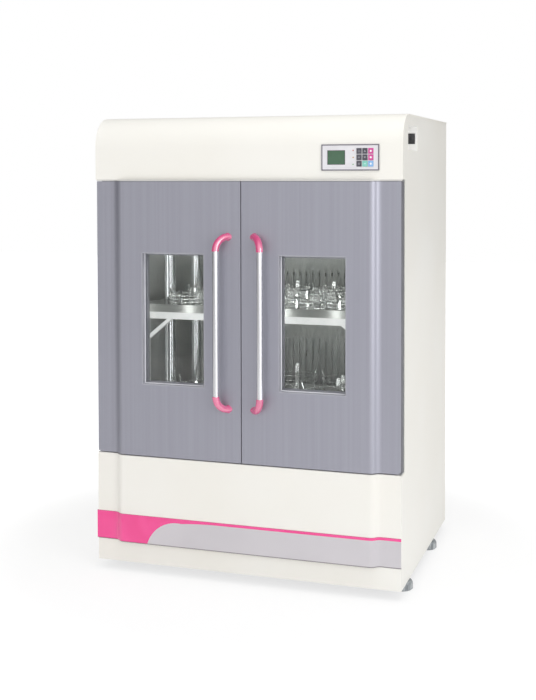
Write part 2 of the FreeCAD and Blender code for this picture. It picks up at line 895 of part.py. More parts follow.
def belt_pulley(x, y, radius, bore, hub_radius, z0, z1):
    """A flanged belt pulley with a web between its hub and its rim."""
    low_lip = rod(radius + pulley_rim, x, y, z0, z0 + pulley_rim)
    high_lip = rod(radius + pulley_rim, x, y, z1 - pulley_rim, z1)
    body = joined([rod(radius, x, y, z0, z1), low_lip, high_lip])
    dish = (z1 - z0 - pulley_web) / 2
    rim = radius - pulley_rim_wall
    if rim > hub_radius:
        body = body.cut(ring(rim, hub_radius, x, y, z1 - dish, z1 + overrun))
        body = body.cut(ring(rim, hub_radius, x, y, z0 - overrun, z0 + dish))
    return body.cut(rod(bore, x, y, z0 - overrun, z1 + overrun)) if bore else body


def drive_pulley():
    return belt_pulley(0, drive_y, main_pulley_radius, main_shaft_radius + shaft_clearance, pulley_hub_radius,
                       pulley_bottom, pulley_bottom + pulley_width)


def motor_pulley():
    """The motor's shaft with its small pulley."""
    wheel = belt_pulley(motor_x, motor_y, motor_pulley_radius, 0, motor_pulley_radius, pulley_bottom,
                        pulley_bottom + pulley_width)
    shaft = rod(motor_shaft_radius, motor_x, motor_y, plate_bottom - motor_shaft_depth, pulley_bottom)
    return joined([wheel, shaft])


def drive_motor():
    """The motor hung under the drive plate, with its terminal box."""
    x, y = motor_x, motor_y
    flange = rod(motor_flange_radius, x, y, plate_bottom - motor_flange, plate_bottom)
    body = rod(motor_radius, x, y, plate_bottom - motor_flange - motor_length, plate_bottom - motor_flange)
    z = plate_bottom - motor_flange - motor_length / 2
    box = block(x - motor_radius - motor_box_height, x, y - motor_box_width / 2, y + motor_box_width / 2,
                z - motor_box_length / 2, z + motor_box_length / 2)
    bore = rod(motor_shaft_radius + shaft_clearance, x, y, plate_bottom - motor_shaft_depth - run_gap,
               plate_bottom + overrun)
    return joined([flange, body, box]).cut(bore)


def belt_outline(r_main, r_motor, z):
    """The loop around two pulleys: two arcs joined by their outer tangents."""
    a = V(0, drive_y, z)
    b = V(motor_x, motor_y, z)
    span = b - a
    along = V(span).normalize()
    across = Z_AXIS.cross(along)
    lean = math.asin((r_main - r_motor) / span.Length)

    def rim(centre, radius, angle):
        return centre + along * (radius * math.cos(angle)) + across * (radius * math.sin(angle))

    top = math.pi / 2 - lean
    a_left, a_right = rim(a, r_main, top), rim(a, r_main, -top)
    b_left, b_right = rim(b, r_motor, top), rim(b, r_motor, -top)
    edges = [
        Part.makeLine(a_left, b_left),
        Part.Arc(b_left, rim(b, r_motor, 0), b_right).toShape(),
        Part.makeLine(b_right, a_right),
        Part.Arc(a_right, rim(a, r_main, math.pi), a_left).toShape(),
    ]
    return Part.Face(Part.Wire(edges))


def drive_belt():
    """The flat belt between the two pulleys."""
    inner_a = main_pulley_radius + run_gap
    inner_b = motor_pulley_radius + run_gap
    outer = belt_outline(inner_a + belt_thickness, inner_b + belt_thickness, belt_bottom)
    inner = belt_outline(inner_a, inner_b, belt_bottom - overrun)
    return outer.extrude(V(0, 0, belt_width)).cut(inner.extrude(V(0, 0, belt_width + 2 * overrun)))


def post_places():
    """The four round posts through both decks."""
    return [(side * post_across, platform_y + end * post_along) for side in (-1, 1) for end in (-1, 1)]


def platform_frame():
    """The moving platform: a plate with a down-turned rim and three bearing hubs."""
    x = tray_half + deck_side_reach
    y = tray_depth / 2
    plate = block(-x, x, platform_y - y, platform_y + y, platform_bottom, platform_top)
    rim = block(-x, x, platform_y - y, platform_y + y, platform_top - platform_rim, platform_top)
    core = block(-x + platform_rim_wall, x - platform_rim_wall, platform_y - y + platform_rim_wall,
                 platform_y + y - platform_rim_wall, platform_top - platform_rim - overrun, platform_bottom)
    pieces = [plate, rim.cut(core)]
    for px, py, pin in pin_places():
        pieces.append(rod(pin + hub_wall, px, py, hub_bottom, platform_bottom))
    body = joined(pieces)
    for px, py, pin in pin_places():
        body = body.cut(rod(pin + shaft_clearance, px, py, hub_bottom - overrun, platform_bottom))
    return body


def tray(z):
    """A shallow pan with an upturned lip and a hole for each round post."""
    x = tray_half
    y = tray_depth / 2
    outer = rounded_prism_z(-x, x, platform_y - y, platform_y + y, z, z + tray_lip, tray_corner)
    inner = rounded_prism_z(-x + tray_sheet, x - tray_sheet, platform_y - y + tray_sheet,
                            platform_y + y - tray_sheet, z + tray_sheet, z + tray_lip + overrun,
                            tray_corner - tray_sheet)
    body = outer.cut(inner)
    if z > platform_top:
        for px, py in post_places():
            body = body.cut(rod(post_radius + post_hole_play, px, py, z - overrun, z + tray_lip))
    return body


def deck_trays():
    return Part.makeCompound([tray(platform_top), tray(deck_top)])


def deck_posts():
    """Four round tubes that stand on the lower tray and pass through the upper deck, with end caps."""
    z0 = platform_top + tray_sheet
    z1 = deck_top + tray_sheet + post_above_deck
    posts = []
    for x, y in post_places():
        tube = ring(post_radius, post_radius - post_wall, x, y, z0, z1)
        cap = rod(post_radius, x, y, z1, z1 + post_cap)
        posts.append(joined([tube, cap]))
    return Part.makeCompound(posts)


def upper_deck_frame():
    """The white upper deck: a folded shelf on four corner legs with diagonal braces."""
    x = tray_half + deck_side_reach
    inner_x = x - deck_leg
    y = tray_depth / 2
    y0, y1 = platform_y - y, platform_y + y
    shelf = block(-x, x, y0, y1, deck_top - deck_sheet, deck_top)
    edge = block(-x, x, y0, y1, deck_top - deck_edge, deck_top)
    core = block(-x + deck_sheet, x - deck_sheet, y0 + deck_sheet, y1 - deck_sheet,
                 deck_top - deck_edge - overrun, deck_top - deck_sheet)
    pieces = [shelf, edge.cut(core)]
    z0 = platform_top
    for side in (-1, 1):
        for y_leg in (y0, y1 - deck_leg):
            x0, x1 = sorted((side * x, side * inner_x))
            leg = block(x0, x1, y_leg, y_leg + deck_leg, z0, deck_top - deck_sheet)
            pieces.append(leg)
            y_brace = y_leg if y_leg == y0 else y_leg + deck_leg - deck_brace
            top = deck_top - deck_edge
            points = [V(side * inner_x, y_brace, top - brace_drop - deck_brace),
                      V(side * inner_x, y_brace, top - brace_drop),
                      V(side * (inner_x - brace_run), y_brace, top),
                      V(side * (inner_x - brace_run - deck_brace), y_brace, top)]
            pieces.append(polygon(points).extrude(V(0, deck_brace, 0)))
    body = joined(pieces)
    for px, py in post_places():
        body = body.cut(rod(post_radius + post_hole_play, px, py, deck_top - deck_edge, deck_top + overrun))
    notch = block(inner_x - overrun, tray_half, y0, y1, z0 - overrun, z0 + tray_lip)
    return body.cut(notch).cut(mirrored(notch))


def clamp(x, y, z, radius, height):
    """A flask clamp: a base disc and four springy fingers with flared tips."""
    pieces = [rod(radius + clamp_sheet, x, y, z, z + clamp_sheet)]
    pinch = height * clamp_pinch_share
    w = clamp_finger_width / 2
    points = [V(radius, -w, 0), V(radius + clamp_sheet, -w, 0),
              V(radius - clamp_pinch + clamp_sheet, -w, pinch),
              V(radius + clamp_flare + clamp_sheet, -w, height), V(radius + clamp_flare, -w, height),
              V(radius - clamp_pinch, -w, pinch)]
    finger = polygon(points).extrude(V(0, clamp_finger_width, 0))
    for i in range(clamp_count_per_ring):
        copy = finger.copy()
        copy.rotate(V(0, 0, 0), Z_AXIS, i * QUARTER_TURN)
        copy.translate(V(x, y, z))
        pieces.append(copy)
    return joined(pieces)


def even_places(reach, least_pitch):
    """As many places as fit from -reach to reach at no less than a pitch, evenly spaced."""
    gaps = int(2 * reach / least_pitch)
    return [-reach + i * 2 * reach / gaps for i in range(gaps + 1)] if gaps else [0]


def clamp_grid(radius, side_inset, end_inset):
    """The middles of a field of clamps on a tray."""
    least_pitch = 2 * (radius + clamp_sheet + clamp_flare) + clamp_gap
    return [(x, platform_y + y) for x in even_places(tray_half - side_inset, least_pitch)
            for y in even_places(tray_depth / 2 - end_inset, least_pitch)]


def flask_clamps():
    """The clamps of both decks, each screwed to its tray."""
    lower = clamp_grid(lower_clamp_radius, lower_clamp_side_inset, lower_clamp_end_inset)
    upper = clamp_grid(upper_clamp_radius, upper_clamp_side_inset, upper_clamp_end_inset)
    z_low = platform_top + tray_sheet
    z_high = deck_top + tray_sheet
    solids = [clamp(x, y, z_low, lower_clamp_radius, lower_clamp_height) for x, y in lower]
    solids += [clamp(x, y, z_high, upper_clamp_radius, upper_clamp_height) for x, y in upper]
    return Part.makeCompound(solids)


def window_edges(grow):
    """The window's low and high x and z on the right door, grown by a margin."""
    x0 = door_free + window_seam_distance
    z0 = door_bottom + window_sill
    return x0 - grow, x0 + window_width + grow, z0 - grow, z0 + window_height + grow


def window_prism(grow, y0, y1, radius):
    """A rounded block as large as the window."""
    x0, x1, z0, z1 = window_edges(grow)
    return rounded_prism_y(x0, x1, y0, y1, z0, z1, radius)


def hinge_blocks():
    """The blocks inside a door's outer corners, as boxes at the top and bottom."""
    x0 = hinge_x - hinge_block_width / 2
    x1 = door_edge - door_sheet
    y0 = front_plane + door_sheet
    y1 = door_back - inner_panel_sheet
    low = door_bottom + door_sheet
    high = door_top - door_sheet
    return [block(x0, x1, y0, y1, low, low + hinge_block_height),
            block(x0, x1, y0, y1, high - hinge_block_height, high)]


def corner_wedge(inward):
    """The wedge that takes off the door's bottom outer corner, moved inwards by a thickness."""
    y = proud_plane - overrun
    depth = door_step + door_thickness + 2 * overrun
    x1 = door_edge - inward
    z1 = door_bottom + inward
    cut = door_corner_cut - inward * (2 - math.sqrt(2))
    points = [V(x1 - cut - overrun, y, z1 - overrun), V(x1 + overrun, y, z1 - overrun),
              V(x1 + overrun, y, z1 + cut + overrun)]
    return polygon(points).extrude(V(0, depth, 0))


def door_skin():
    """The door's folded outer shell, open at the back, with the window and the hinge pin holes."""
    shell = front_half(door_free, door_edge, door_back, 0, door_bottom, door_top)
    inside = front_half(door_free + door_sheet, door_edge - door_sheet, door_back + overrun, door_sheet,
                        door_bottom + door_sheet, door_top - door_sheet)
    body = shell.cut(corner_wedge(0)).cut(inside.cut(corner_wedge(door_sheet)))
    body = body.cut(window_prism(0, proud_plane - overrun, front_plane, window_corner))
    holes = [rod(hinge_pin_radius + hinge_hole_play, hinge_x, hinge_y, door_bottom - overrun,
                 door_bottom + door_sheet + overrun),
             rod(hinge_pin_radius + hinge_hole_play, hinge_x, hinge_y, door_top - door_sheet - overrun,
                 door_top + overrun)]
    for tool in holes:
        body = body.cut(tool)
    return body


def door_inner_panel():
    """The door's back sheet with the window opening and the hinge blocks."""
    body = block(door_free + door_sheet, door_edge - door_sheet, door_back - inner_panel_sheet, door_back,
                 door_bottom + door_sheet, door_top - door_sheet)
    body = joined([body] + hinge_blocks()).cut(corner_wedge(door_sheet))
    body = body.cut(window_prism(0, front_plane, door_back + overrun, window_corner))
    deep = hinge_pin_reach + hinge_plate
    for z0, z1 in ((door_bottom, door_bottom + deep), (door_top - deep, door_top)):
        body = body.cut(rod(hinge_pin_radius + shaft_clearance, hinge_x, hinge_y, z0, z1))
    return body


def window_frame():
    """The sleeve that lines the window, with the ledge that keeps the two panes apart."""
    y0, y1 = proud_plane, door_back
    sleeve = window_prism(0, y0, y1, window_corner)
    clear = window_prism(-window_wall, y0 - overrun, y1 + overrun, window_corner - window_wall)
    ledge = window_prism(-window_wall, proud_plane + glass_recess + pane,
                         proud_plane + glass_recess + pane + pane_spacing, window_corner - window_wall)
    gap = window_prism(-window_wall - window_ledge, y0 - overrun, y1 + overrun, window_corner - window_wall)
    return joined([sleeve.cut(clear), ledge.cut(gap)])


def window_glass():
    """The door's two panes, one each side of the ledge."""
    front = proud_plane + glass_recess
    rear = front + pane + pane_spacing
    panes = [window_prism(-window_wall, y, y + pane, window_corner - window_wall) for y in (front, rear)]
    return Part.makeCompound(panes)


def door_gasket():
    """The soft seal around the back of the door."""
    y0 = door_back
    y1 = niche_plane - run_gap
    x0 = door_free + gasket_edge
    x1 = door_edge - gasket_hinge_edge
    z0 = door_bottom + door_sheet
    z1 = door_top - door_sheet
    outer = rounded_prism_y(x0, x1, y0, y1, z0, z1, window_corner)
    inner = rounded_prism_y(x0 + gasket_width, x1 - gasket_width, y0 - overrun, y1 + overrun,
                            z0 + gasket_width, z1 - gasket_width, window_corner)
    return outer.cut(inner)


def handle_levels():
    """The lower and upper end of the handle's straight tube."""
    z0 = door_bottom + handle_tube_rise
    return z0, z0 + handle_tube_length


def handle_tube():
    z0, z1 = handle_levels()
    return ring(handle_tube_radius, handle_tube_radius - handle_tube_wall, door_free + handle_seam_distance,
                proud_plane - handle_standoff, z0, z1)


def handle_end(z, up):
    """A curved end piece from the tube's end to the door, turned towards the door's free edge."""
    x = door_free + handle_seam_distance
    y = proud_plane - handle_standoff
    reach = math.hypot(handle_foot_shift, handle_standoff)
    heading = V(-handle_foot_shift / reach, handle_standoff / reach, 0)
    start = V(x, y, z)
    centre = start + heading * reach
    end = centre + V(0, 0, up * reach)
    section = Part.Face(Part.Wire([Part.makeCircle(handle_end_radius, start, Z_AXIS)]))
    bend = section.revolve(centre, Z_AXIS.cross(heading) * up, QUARTER_TURN)
    past = Part.makeCylinder(handle_end_radius, handle_end_radius, end, heading)
    front_side = block(x - 2 * reach, x + 2 * reach, y - 2 * reach, proud_plane, z - 2 * reach, z + 2 * reach)
    arm = joined([bend, past]).common(front_side)
    foot_disc = Part.makeCone(handle_foot_radius, handle_end_radius, handle_foot_height,
                              V(end.x, proud_plane, end.z), V(0, -1, 0))
    plug_radius = handle_tube_radius - handle_tube_wall - shaft_clearance
    plug = rod(plug_radius, x, y, min(z, z - up * handle_plug_length), max(z, z - up * handle_plug_length))
    return joined([arm, foot_disc, plug])


def handle_ends():
    z0, z1 = handle_levels()
    return Part.makeCompound([handle_end(z0, -1), handle_end(z1, 1)])


def hinge_plates():
    """Four pivot plates with their pins, above and below each door."""
    x1 = side_inner
    x0 = hinge_x - hinge_plate_width / 2
    y0 = hinge_y - hinge_plate_overlap
    low = joined([
        block(x0, x1, y0, niche_plane, lower_top, lower_top + hinge_plate),
        rod(2 * hinge_pin_radius, hinge_x, hinge_y, lower_top, door_bottom - run_gap),
        rod(hinge_pin_radius, hinge_x, hinge_y, lower_top, door_bottom + hinge_pin_reach),
    ])
    high = joined([
        block(x0, x1, y0, niche_plane, head_bottom - hinge_plate, head_bottom),
        rod(hinge_pin_radius, hinge_x, hinge_y, door_top - hinge_pin_reach, head_bottom),
    ])
    return Part.makeCompound([low, high, mirrored(low), mirrored(high)])


def key_grid():
    """The middle of each key, row by row from the top left."""
    x0 = panel_centre_x + key_centre_offset
    return [(x0 + (column - (key_columns - 1) / 2) * key_pitch_x,
             panel_centre_z - (row - (key_rows - 1) / 2) * key_pitch_z)
            for row in range(key_rows) for column in range(key_columns)]


def centred(x, z, width, height, y0, y1):
    """A block centred on a point of the front."""
    return block(x - width / 2, x + width / 2, y0, y1, z - height / 2, z + height / 2)


def lamp_places():
    """The three small lamps left of the keys."""
    x = panel_centre_x + lamp_offset
    return [(x, panel_centre_z + i * lamp_pitch) for i in (-1, 0, 1)]


def panel_plate_body():
    """The control panel's plate with its raised rim and the openings of the display, keys and lamps."""
    plate = centred(panel_centre_x, panel_centre_z, panel_width, panel_height, plate_front, plate_back)
    rim = centred(panel_centre_x, panel_centre_z, panel_width, panel_height, plate_front - panel_rim_proud,
                  plate_back)
    rim = rim.cut(centred(panel_centre_x, panel_centre_z, panel_width - 2 * panel_rim,
                          panel_height - 2 * panel_rim, plate_front - overrun, plate_front))
    body = joined([plate, rim])
    body = body.cut(centred(panel_centre_x + lcd_centre_offset, panel_centre_z, lcd_width, lcd_height,
                            plate_front - overrun, plate_back + overrun))
    for x, z in key_grid():
        body = body.cut(centred(x, z, key_width + 2 * key_play, key_height + 2 * key_play,
                                plate_front - overrun, plate_back + overrun))
    for x, z in lamp_places():
        body = body.cut(rod_y(lamp_radius + key_play, x, z, plate_front - overrun, plate_back + overrun))
    return body


def lcd_display():
    """The display: a glass in the plate's opening on a larger body behind it."""
    x = panel_centre_x + lcd_centre_offset
    glass = centred(x, panel_centre_z, lcd_width - 2 * key_play, lcd_height - 2 * key_play,
                    plate_front + lcd_glass_recess, plate_back)
    body = centred(x, panel_centre_z, lcd_width + 2 * lcd_body_margin, lcd_height + 2 * lcd_body_margin,
                   plate_back, plate_back + lcd_body)
    return joined([glass, body])


def control_board():
    """The circuit board on four posts behind the head's front, with its three lamps and a display block."""
    y0 = front_plane + board_gap
    y1 = y0 + board_thickness
    x, z = panel_centre_x, panel_centre_z
    width = panel_width + 2 * board_margin
    height = panel_height + 2 * board_margin
    pieces = [centred(x, z, width, height, y0, y1)]
    for sx in (-1, 1):
        for sz in (-1, 1):
            pieces.append(rod_y(board_post_radius, x + sx * (width / 2 - board_post_inset),
                                z + sz * (height / 2 - board_post_inset), front_plane + sheet, y0))
    for px, pz in lamp_places():
        pieces.append(rod_y(lamp_radius, px, pz, plate_front, y0))
    pieces.append(centred(x + lcd_centre_offset, z, lcd_width, lcd_height, plate_back + lcd_body, y0))
    return joined(pieces)


def panel_key(x, z):
    """A key cap that stands proud of the plate, with a flange behind it and a stem to the board."""
    back = plate_back + run_gap + key_flange_thickness
    cap = centred(x, z, key_width, key_height, plate_front - key_proud, back)
    flange = centred(x, z, key_width + 2 * key_flange, key_height + 2 * key_flange,
                     plate_back + run_gap, back)
    stem = rod_y(key_stem_radius, x, z, back, front_plane + board_gap - key_travel - run_gap)
    return joined([cap, flange, stem])


def switch_pivot():
    """The rocker's pivot: behind the pocket's rear wall."""
    x = half_width - pocket_depth / 2
    y = front_plane + pocket_front + pocket_length + switch_shoulder
    z = head_bottom + pocket_rise + pocket_height / 2
    return x, y, z


def switch_housing():
    """The pocket in the head's right side, with the switch's case behind its rear wall."""
    x, y, z = switch_pivot()
    outer = pocket_box(pocket_wall, half_width - sheet)
    flange = pocket_box(0, half_width)
    body = joined([outer, flange])
    y_wall = front_plane + pocket_front + pocket_length
    half = math.hypot(switch_reach, switch_shoulder) + switch_play
    w = switch_width / 2 + switch_play
    case = block(x - w - switch_wall, x + w + switch_wall, y_wall, y + switch_box_depth,
                 z - half - switch_wall, z + half + switch_wall)
    room = block(x - w, x + w, y_wall - overrun, y + switch_box_depth - switch_wall, z - half, z + half)
    body = joined([body, case])
    axle_hole = Part.makeCylinder(switch_axle_radius + shaft_clearance, 2 * w + switch_wall,
                                  V(x - w - switch_wall / 2, y, z), X_AXIS)
    return body.cut(pocket_box(0, half_width + overrun)).cut(room).cut(axle_hole)


def switch_rocker():
    """The rocker, tilted to its off position, on an axle that runs in the case."""
    x, y, z = switch_pivot()
    w = switch_width / 2
    shape = [V(x - w, y - switch_nose, z), V(x - w, y - switch_shoulder, z + switch_reach),
             V(x - w, y + switch_body, z + switch_reach), V(x - w, y + switch_body, z - switch_reach),
             V(x - w, y - switch_shoulder, z - switch_reach)]
    body = polygon(shape).extrude(V(switch_width, 0, 0))
    axle_end = V(x - w - switch_wall / 2, y, z)
    axle = Part.makeCylinder(switch_axle_radius, switch_width + switch_wall, axle_end, X_AXIS)
    whole = joined([body, axle])
    whole.rotate(V(x, y, z), X_AXIS, switch_tilt)
    return whole


def power_inlet():
    """The mains inlet: a socket body in the back panel's opening, with a flange on the outside."""
    z = inlet_level + inlet_height / 2
    body = centred(inlet_x, z, inlet_width, inlet_height, back_plane - inlet_depth, back_plane)
    flange = centred(inlet_x, z, inlet_width + 2 * inlet_flange_side, inlet_height + 2 * inlet_flange_top,
                     back_plane, back_plane + inlet_flange)
    socket = centred(inlet_x, z, inlet_socket_width, inlet_socket_height,
                     back_plane + inlet_flange - inlet_socket_depth, back_plane + inlet_flange + overrun)
    return joined([body, flange]).cut(socket)


def door_nodes(side, name):
    """All pieces of one door."""
    builders = {
        "door_skin": door_skin, "door_inner_panel": door_inner_panel, "window_frame": window_frame,
        "window_glass": window_glass, "door_gasket": door_gasket, "handle_tube": handle_tube,
        "handle_ends": handle_ends,
    }
    return {f"{node}_{name}": make() if side > 0 else mirrored(make()) for node, make in builders.items()}


def all_nodes():
    """Every named piece of the shaker."""
    band = band_window()
    nodes = {
        "base_pan": base_pan(),
        "levelling_feet": levelling_feet(),
        "plinth_panel": plinth(),
        "lower_front_panel": lower_front(),
        "accent_trim": band_sheet(True).cut(band),
        "decor_band": band_sheet(False).common(band),
        "side_panel_left": side_panel(-1),
        "side_panel_right": side_panel(1),
        "back_panel": back_cover(),
        "head_cover": head_cover(),
        "chamber_liner": chamber_liner(),
        "panel_plate": panel_plate_body(),
        "lcd_display": lcd_display(),
        "control_board": control_board(),
        "switch_housing": switch_housing(),
        "switch_rocker": switch_rocker(),
        "power_inlet": power_inlet(),
        "hinge_brackets": hinge_plates(),
        "drive_stand": drive_stand(),
        "drive_motor": drive_motor(),
        "drive_belt": drive_belt(),
        "crank_bearings": crank_bearings(),
        "air_duct_panel": air_duct_panel(),
        "fan_motor": fan_motor(),
        "fan_impeller": fan_impeller(),
        "heater_element": heater_element(),
        "temperature_probe": temperature_probe(),
        "motor_pulley": motor_pulley(),
        "drive_pulley": drive_pulley(),
        "drive_crank": crank(0, drive_y, main_shaft_radius, main_disc_radius, main_pin_radius,
                             counterweight_radius),
        "idler_crank_left": crank(-idler_x, idler_y, idler_shaft_radius, idler_disc_radius,
                                  idler_pin_radius, 0),
        "idler_crank_right": crank(idler_x, idler_y, idler_shaft_radius, idler_disc_radius,
                                   idler_pin_radius, 0),
        "platform_frame": platform_frame(),
        "deck_trays": deck_trays(),
        "deck_posts": deck_posts(),
        "upper_deck_frame": upper_deck_frame(),
        "flask_clamps": flask_clamps(),
    }
    for number, (x, z) in enumerate(key_grid(), start=1):
        nodes[f"key_{number}"] = panel_key(x, z)
    nodes.update(door_nodes(-1, "left"))
    nodes.update(door_nodes(1, "right"))
    return nodes


os.makedirs("parts", exist_ok=True)
for node_name, shape in all_nodes().items():
    shape.exportStep(f"parts/{node_name}.step")
    state = "valid" if shape.isValid() else "NOT VALID"
    box = shape.BoundBox
    corners = [round(value) for value in (box.XMin, box.XMax, box.YMin, box.YMax, box.ZMin, box.ZMax)]
    print(node_name, len(shape.Solids), "solids", state, round(shape.Volume), corners)
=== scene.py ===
"""Looks of a floor-standing incubated shaker: a cabinet with two glazed doors over a heated chamber.

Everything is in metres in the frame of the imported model: X to the right, Y to the back, Z up.
"""
import json
import math

import bmesh
import bpy
from mathutils import Matrix, Vector


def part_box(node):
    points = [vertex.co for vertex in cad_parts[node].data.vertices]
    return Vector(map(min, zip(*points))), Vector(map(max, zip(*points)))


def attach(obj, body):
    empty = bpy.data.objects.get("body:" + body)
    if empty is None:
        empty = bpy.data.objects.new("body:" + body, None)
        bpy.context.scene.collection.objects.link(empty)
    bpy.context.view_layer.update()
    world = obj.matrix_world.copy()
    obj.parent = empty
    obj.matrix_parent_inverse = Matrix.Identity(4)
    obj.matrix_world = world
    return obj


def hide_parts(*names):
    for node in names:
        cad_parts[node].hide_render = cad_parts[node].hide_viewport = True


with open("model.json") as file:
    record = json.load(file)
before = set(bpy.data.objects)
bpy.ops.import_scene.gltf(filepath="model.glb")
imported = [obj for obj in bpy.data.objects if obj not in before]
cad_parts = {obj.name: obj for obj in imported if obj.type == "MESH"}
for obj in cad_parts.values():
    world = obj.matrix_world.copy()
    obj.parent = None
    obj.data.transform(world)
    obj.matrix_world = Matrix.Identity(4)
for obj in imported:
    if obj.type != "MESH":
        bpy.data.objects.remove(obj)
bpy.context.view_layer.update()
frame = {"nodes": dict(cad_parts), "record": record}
nodes = frame["nodes"]
record = frame["record"]
openings = {entry["name"]: entry["box_m"] for entry in record["physics"]["openings"]}

MM = 0.001
Y = Vector((0, 1, 0))
Z = Vector((0, 0, 1))

# Camera, fitted to the photograph
IMAGE_WIDTH = 536
IMAGE_HEIGHT = 700
SENSOR = 36.0
FOCAL_PIXELS = 1179.63
AXIS_PIXEL_X = 258.52
AXIS_PIXEL_Y = 212.23
CAMERA_SIDE = 1.3036
CAMERA_DISTANCE = 3.7221
CAMERA_HEIGHT = 1.3889
CAMERA_YAW = math.radians(18.53)
CAMERA_PITCH = math.radians(1.923)
CAMERA_ROLL = math.radians(-0.126)

# Light: the sky as it is mirrored is a list of a share of the turn towards the bright side, and its level
SKY_LEVEL = 0.56
BRIGHT_AZIMUTH = math.radians(35)
MIRRORED_PEAK = 1.8
MIRRORED_SKY = ((0.0, 0.08), (1.0, 0.75), (0.5, 0.14), (0.56, 0.17), (0.77, 0.48), (0.82, 0.66), (0.90, 0.78))
FLOOR_HALF = 14.0
FLOOR_LIFT = 0.72
FLOOR_MIRRORED = 0.35
FLOOR_SEEN = 0.30
FLOOR_FADE_START = 0.85
FLOOR_FADE_END = 1.7
OBJECT_HEART = (0, 0, 0.8)
COOL_WHITE = (0.98, 0.99, 1.0)
WARM_WHITE = (1.0, 0.995, 0.98)
PLAIN_WHITE = (1.0, 1.0, 1.0)
CHAMBER_LIGHT_WIDTH = 0.84
CHAMBER_FRONT_GAP = 20 * MM
CHAMBER_TOP_GAP = 15 * MM
GLINT_PLACES = (-0.44, -0.26, -0.08, 0.10, 0.28, 0.44)
TOP_DEPTHS = (0.12, 0.34, 0.56, 0.8)


def rgb(code):
    """An sRGB hex colour as linear red, green and blue with full alpha."""
    parts = [int(code[i:i + 2], 16) / 255 for i in (1, 3, 5)]
    return [c / 12.92 if c <= 0.04045 else ((c + 0.055) / 1.055) ** 2.4 for c in parts] + [1.0]


def grey(level):
    """A neutral linear colour with full alpha."""
    return [level] * 3 + [1]


def per_mm(*sizes):
    """The pattern scale at which one repeat is this many millimetres, or one scale for each direction."""
    scales = tuple(1 / (size * MM) for size in sizes)
    return scales if len(scales) > 1 else scales[0]


def middle(box):
    """The middle of a box given by two corners."""
    return (Vector(box[0]) + Vector(box[1])) / 2


def link(tree, source, target):
    """Links an output, or the first output of a node, to an input."""
    tree.links.new(source.outputs[0] if isinstance(source, bpy.types.Node) else source, target)


def add(tree, kind, inputs=None, stops=None, **settings):
    """Adds one node with its settings, its input values or links, and the stops of its colour ramp."""
    node = tree.nodes.new(kind)
    for name, value in settings.items():
        setattr(node, name, value)
    for key, value in (inputs or {}).items():
        if isinstance(value, (bpy.types.Node, bpy.types.NodeSocket)):
            link(tree, value, node.inputs[key])
        else:
            node.inputs[key].default_value = value
    for index, (place, colour) in enumerate(stops or []):
        known = node.color_ramp.elements
        stop = known[index] if index < 2 else known.new(place)
        stop.position = place
        stop.color = colour
    return node


def blank(name):
    """A new material with an empty tree."""
    material = bpy.data.materials.new(name)
    material.use_nodes = True
    material.node_tree.nodes.clear()
    return material, material.node_tree


def begin(name, **values):
    """A new material with one shader, and the coordinates of the rest frame for its patterns."""
    material, tree = blank(name)
    sockets = {key.replace("_", " "): value for key, value in values.items()}
    shader = add(tree, "ShaderNodeBsdfPrincipled", sockets)
    add(tree, "ShaderNodeOutputMaterial", {"Surface": shader})
    place = add(tree, "ShaderNodeTexCoord").outputs["Object"]
    return material, tree, shader, place


# Finishes

MIDDLE_SPAN = (0.3, 0.7)
WHOLE_SPAN = (0.0, 1.0)
# The colour of the painted shade lines along the edges of the trim and the film.
PAINTED_SHADE_LINE = "#5A4650"
# The colour of the dark dots of painted shade that stand for fixing holes.
HOLE_PAINTED_SHADE = "#2A2C2B"


def surfaced(tree, shader, colour, grain, shine, relief=None, span=MIDDLE_SPAN, height=None):
    """Joins a colour to the shader, and lets a grain set its roughness and its relief.

    The roughness runs over a span of the grain's values. The relief has a strength and a depth in millimetres.
    """
    dull = add(tree, "ShaderNodeMapRange", {"Value": grain, "From Min": span[0], "From Max": span[1],
                                            "To Min": shine[0], "To Max": shine[1]})
    link(tree, colour, shader.inputs["Base Color"])
    link(tree, dull, shader.inputs["Roughness"])
    if relief:
        bump = add(tree, "ShaderNodeBump", {"Height": grain if height is None else height,
                                            "Strength": relief[0], "Distance": relief[1] * MM})
        link(tree, bump, shader.inputs["Normal"])


def two_tones(tree, place, size, detail, dark, light, end=0.7):
    """A colour that drifts between two tones in soft patches of a size in millimetres."""
    drift = add(tree, "ShaderNodeTexNoise", {"Vector": place, "Scale": per_mm(size), "Detail": detail})
    return add(tree, "ShaderNodeValToRGB", {"Fac": drift}, stops=[(0.3, rgb(dark)), (end, rgb(light))])


def grain_lines(tree, place, stretch, detail):
    """Noise drawn out into lines, with the size of one repeat in millimetres along each direction."""
    drawn = add(tree, "ShaderNodeMapping", {"Vector": place, "Scale": per_mm(*stretch)})
    return add(tree, "ShaderNodeTexNoise", {"Vector": drawn, "Scale": 1.0, "Detail": detail})


def powder_coated_steel():
    """Cream powder coat: a faint orange peel of about 3 mm breaks the gloss, with slow drifts of thickness."""
    material, tree, shader, place = begin("powder_coated_steel")
    colour = two_tones(tree, place, 420, 2.0, "#F2EFE7", "#F5F3ED")
    peel = add(tree, "ShaderNodeTexNoise", {"Vector": place, "Scale": per_mm(3.2), "Detail": 2.0,
                                            "Roughness": 0.45})
    surfaced(tree, shader, colour, peel, (0.36, 0.46), (0.12, 0.4))
    return material


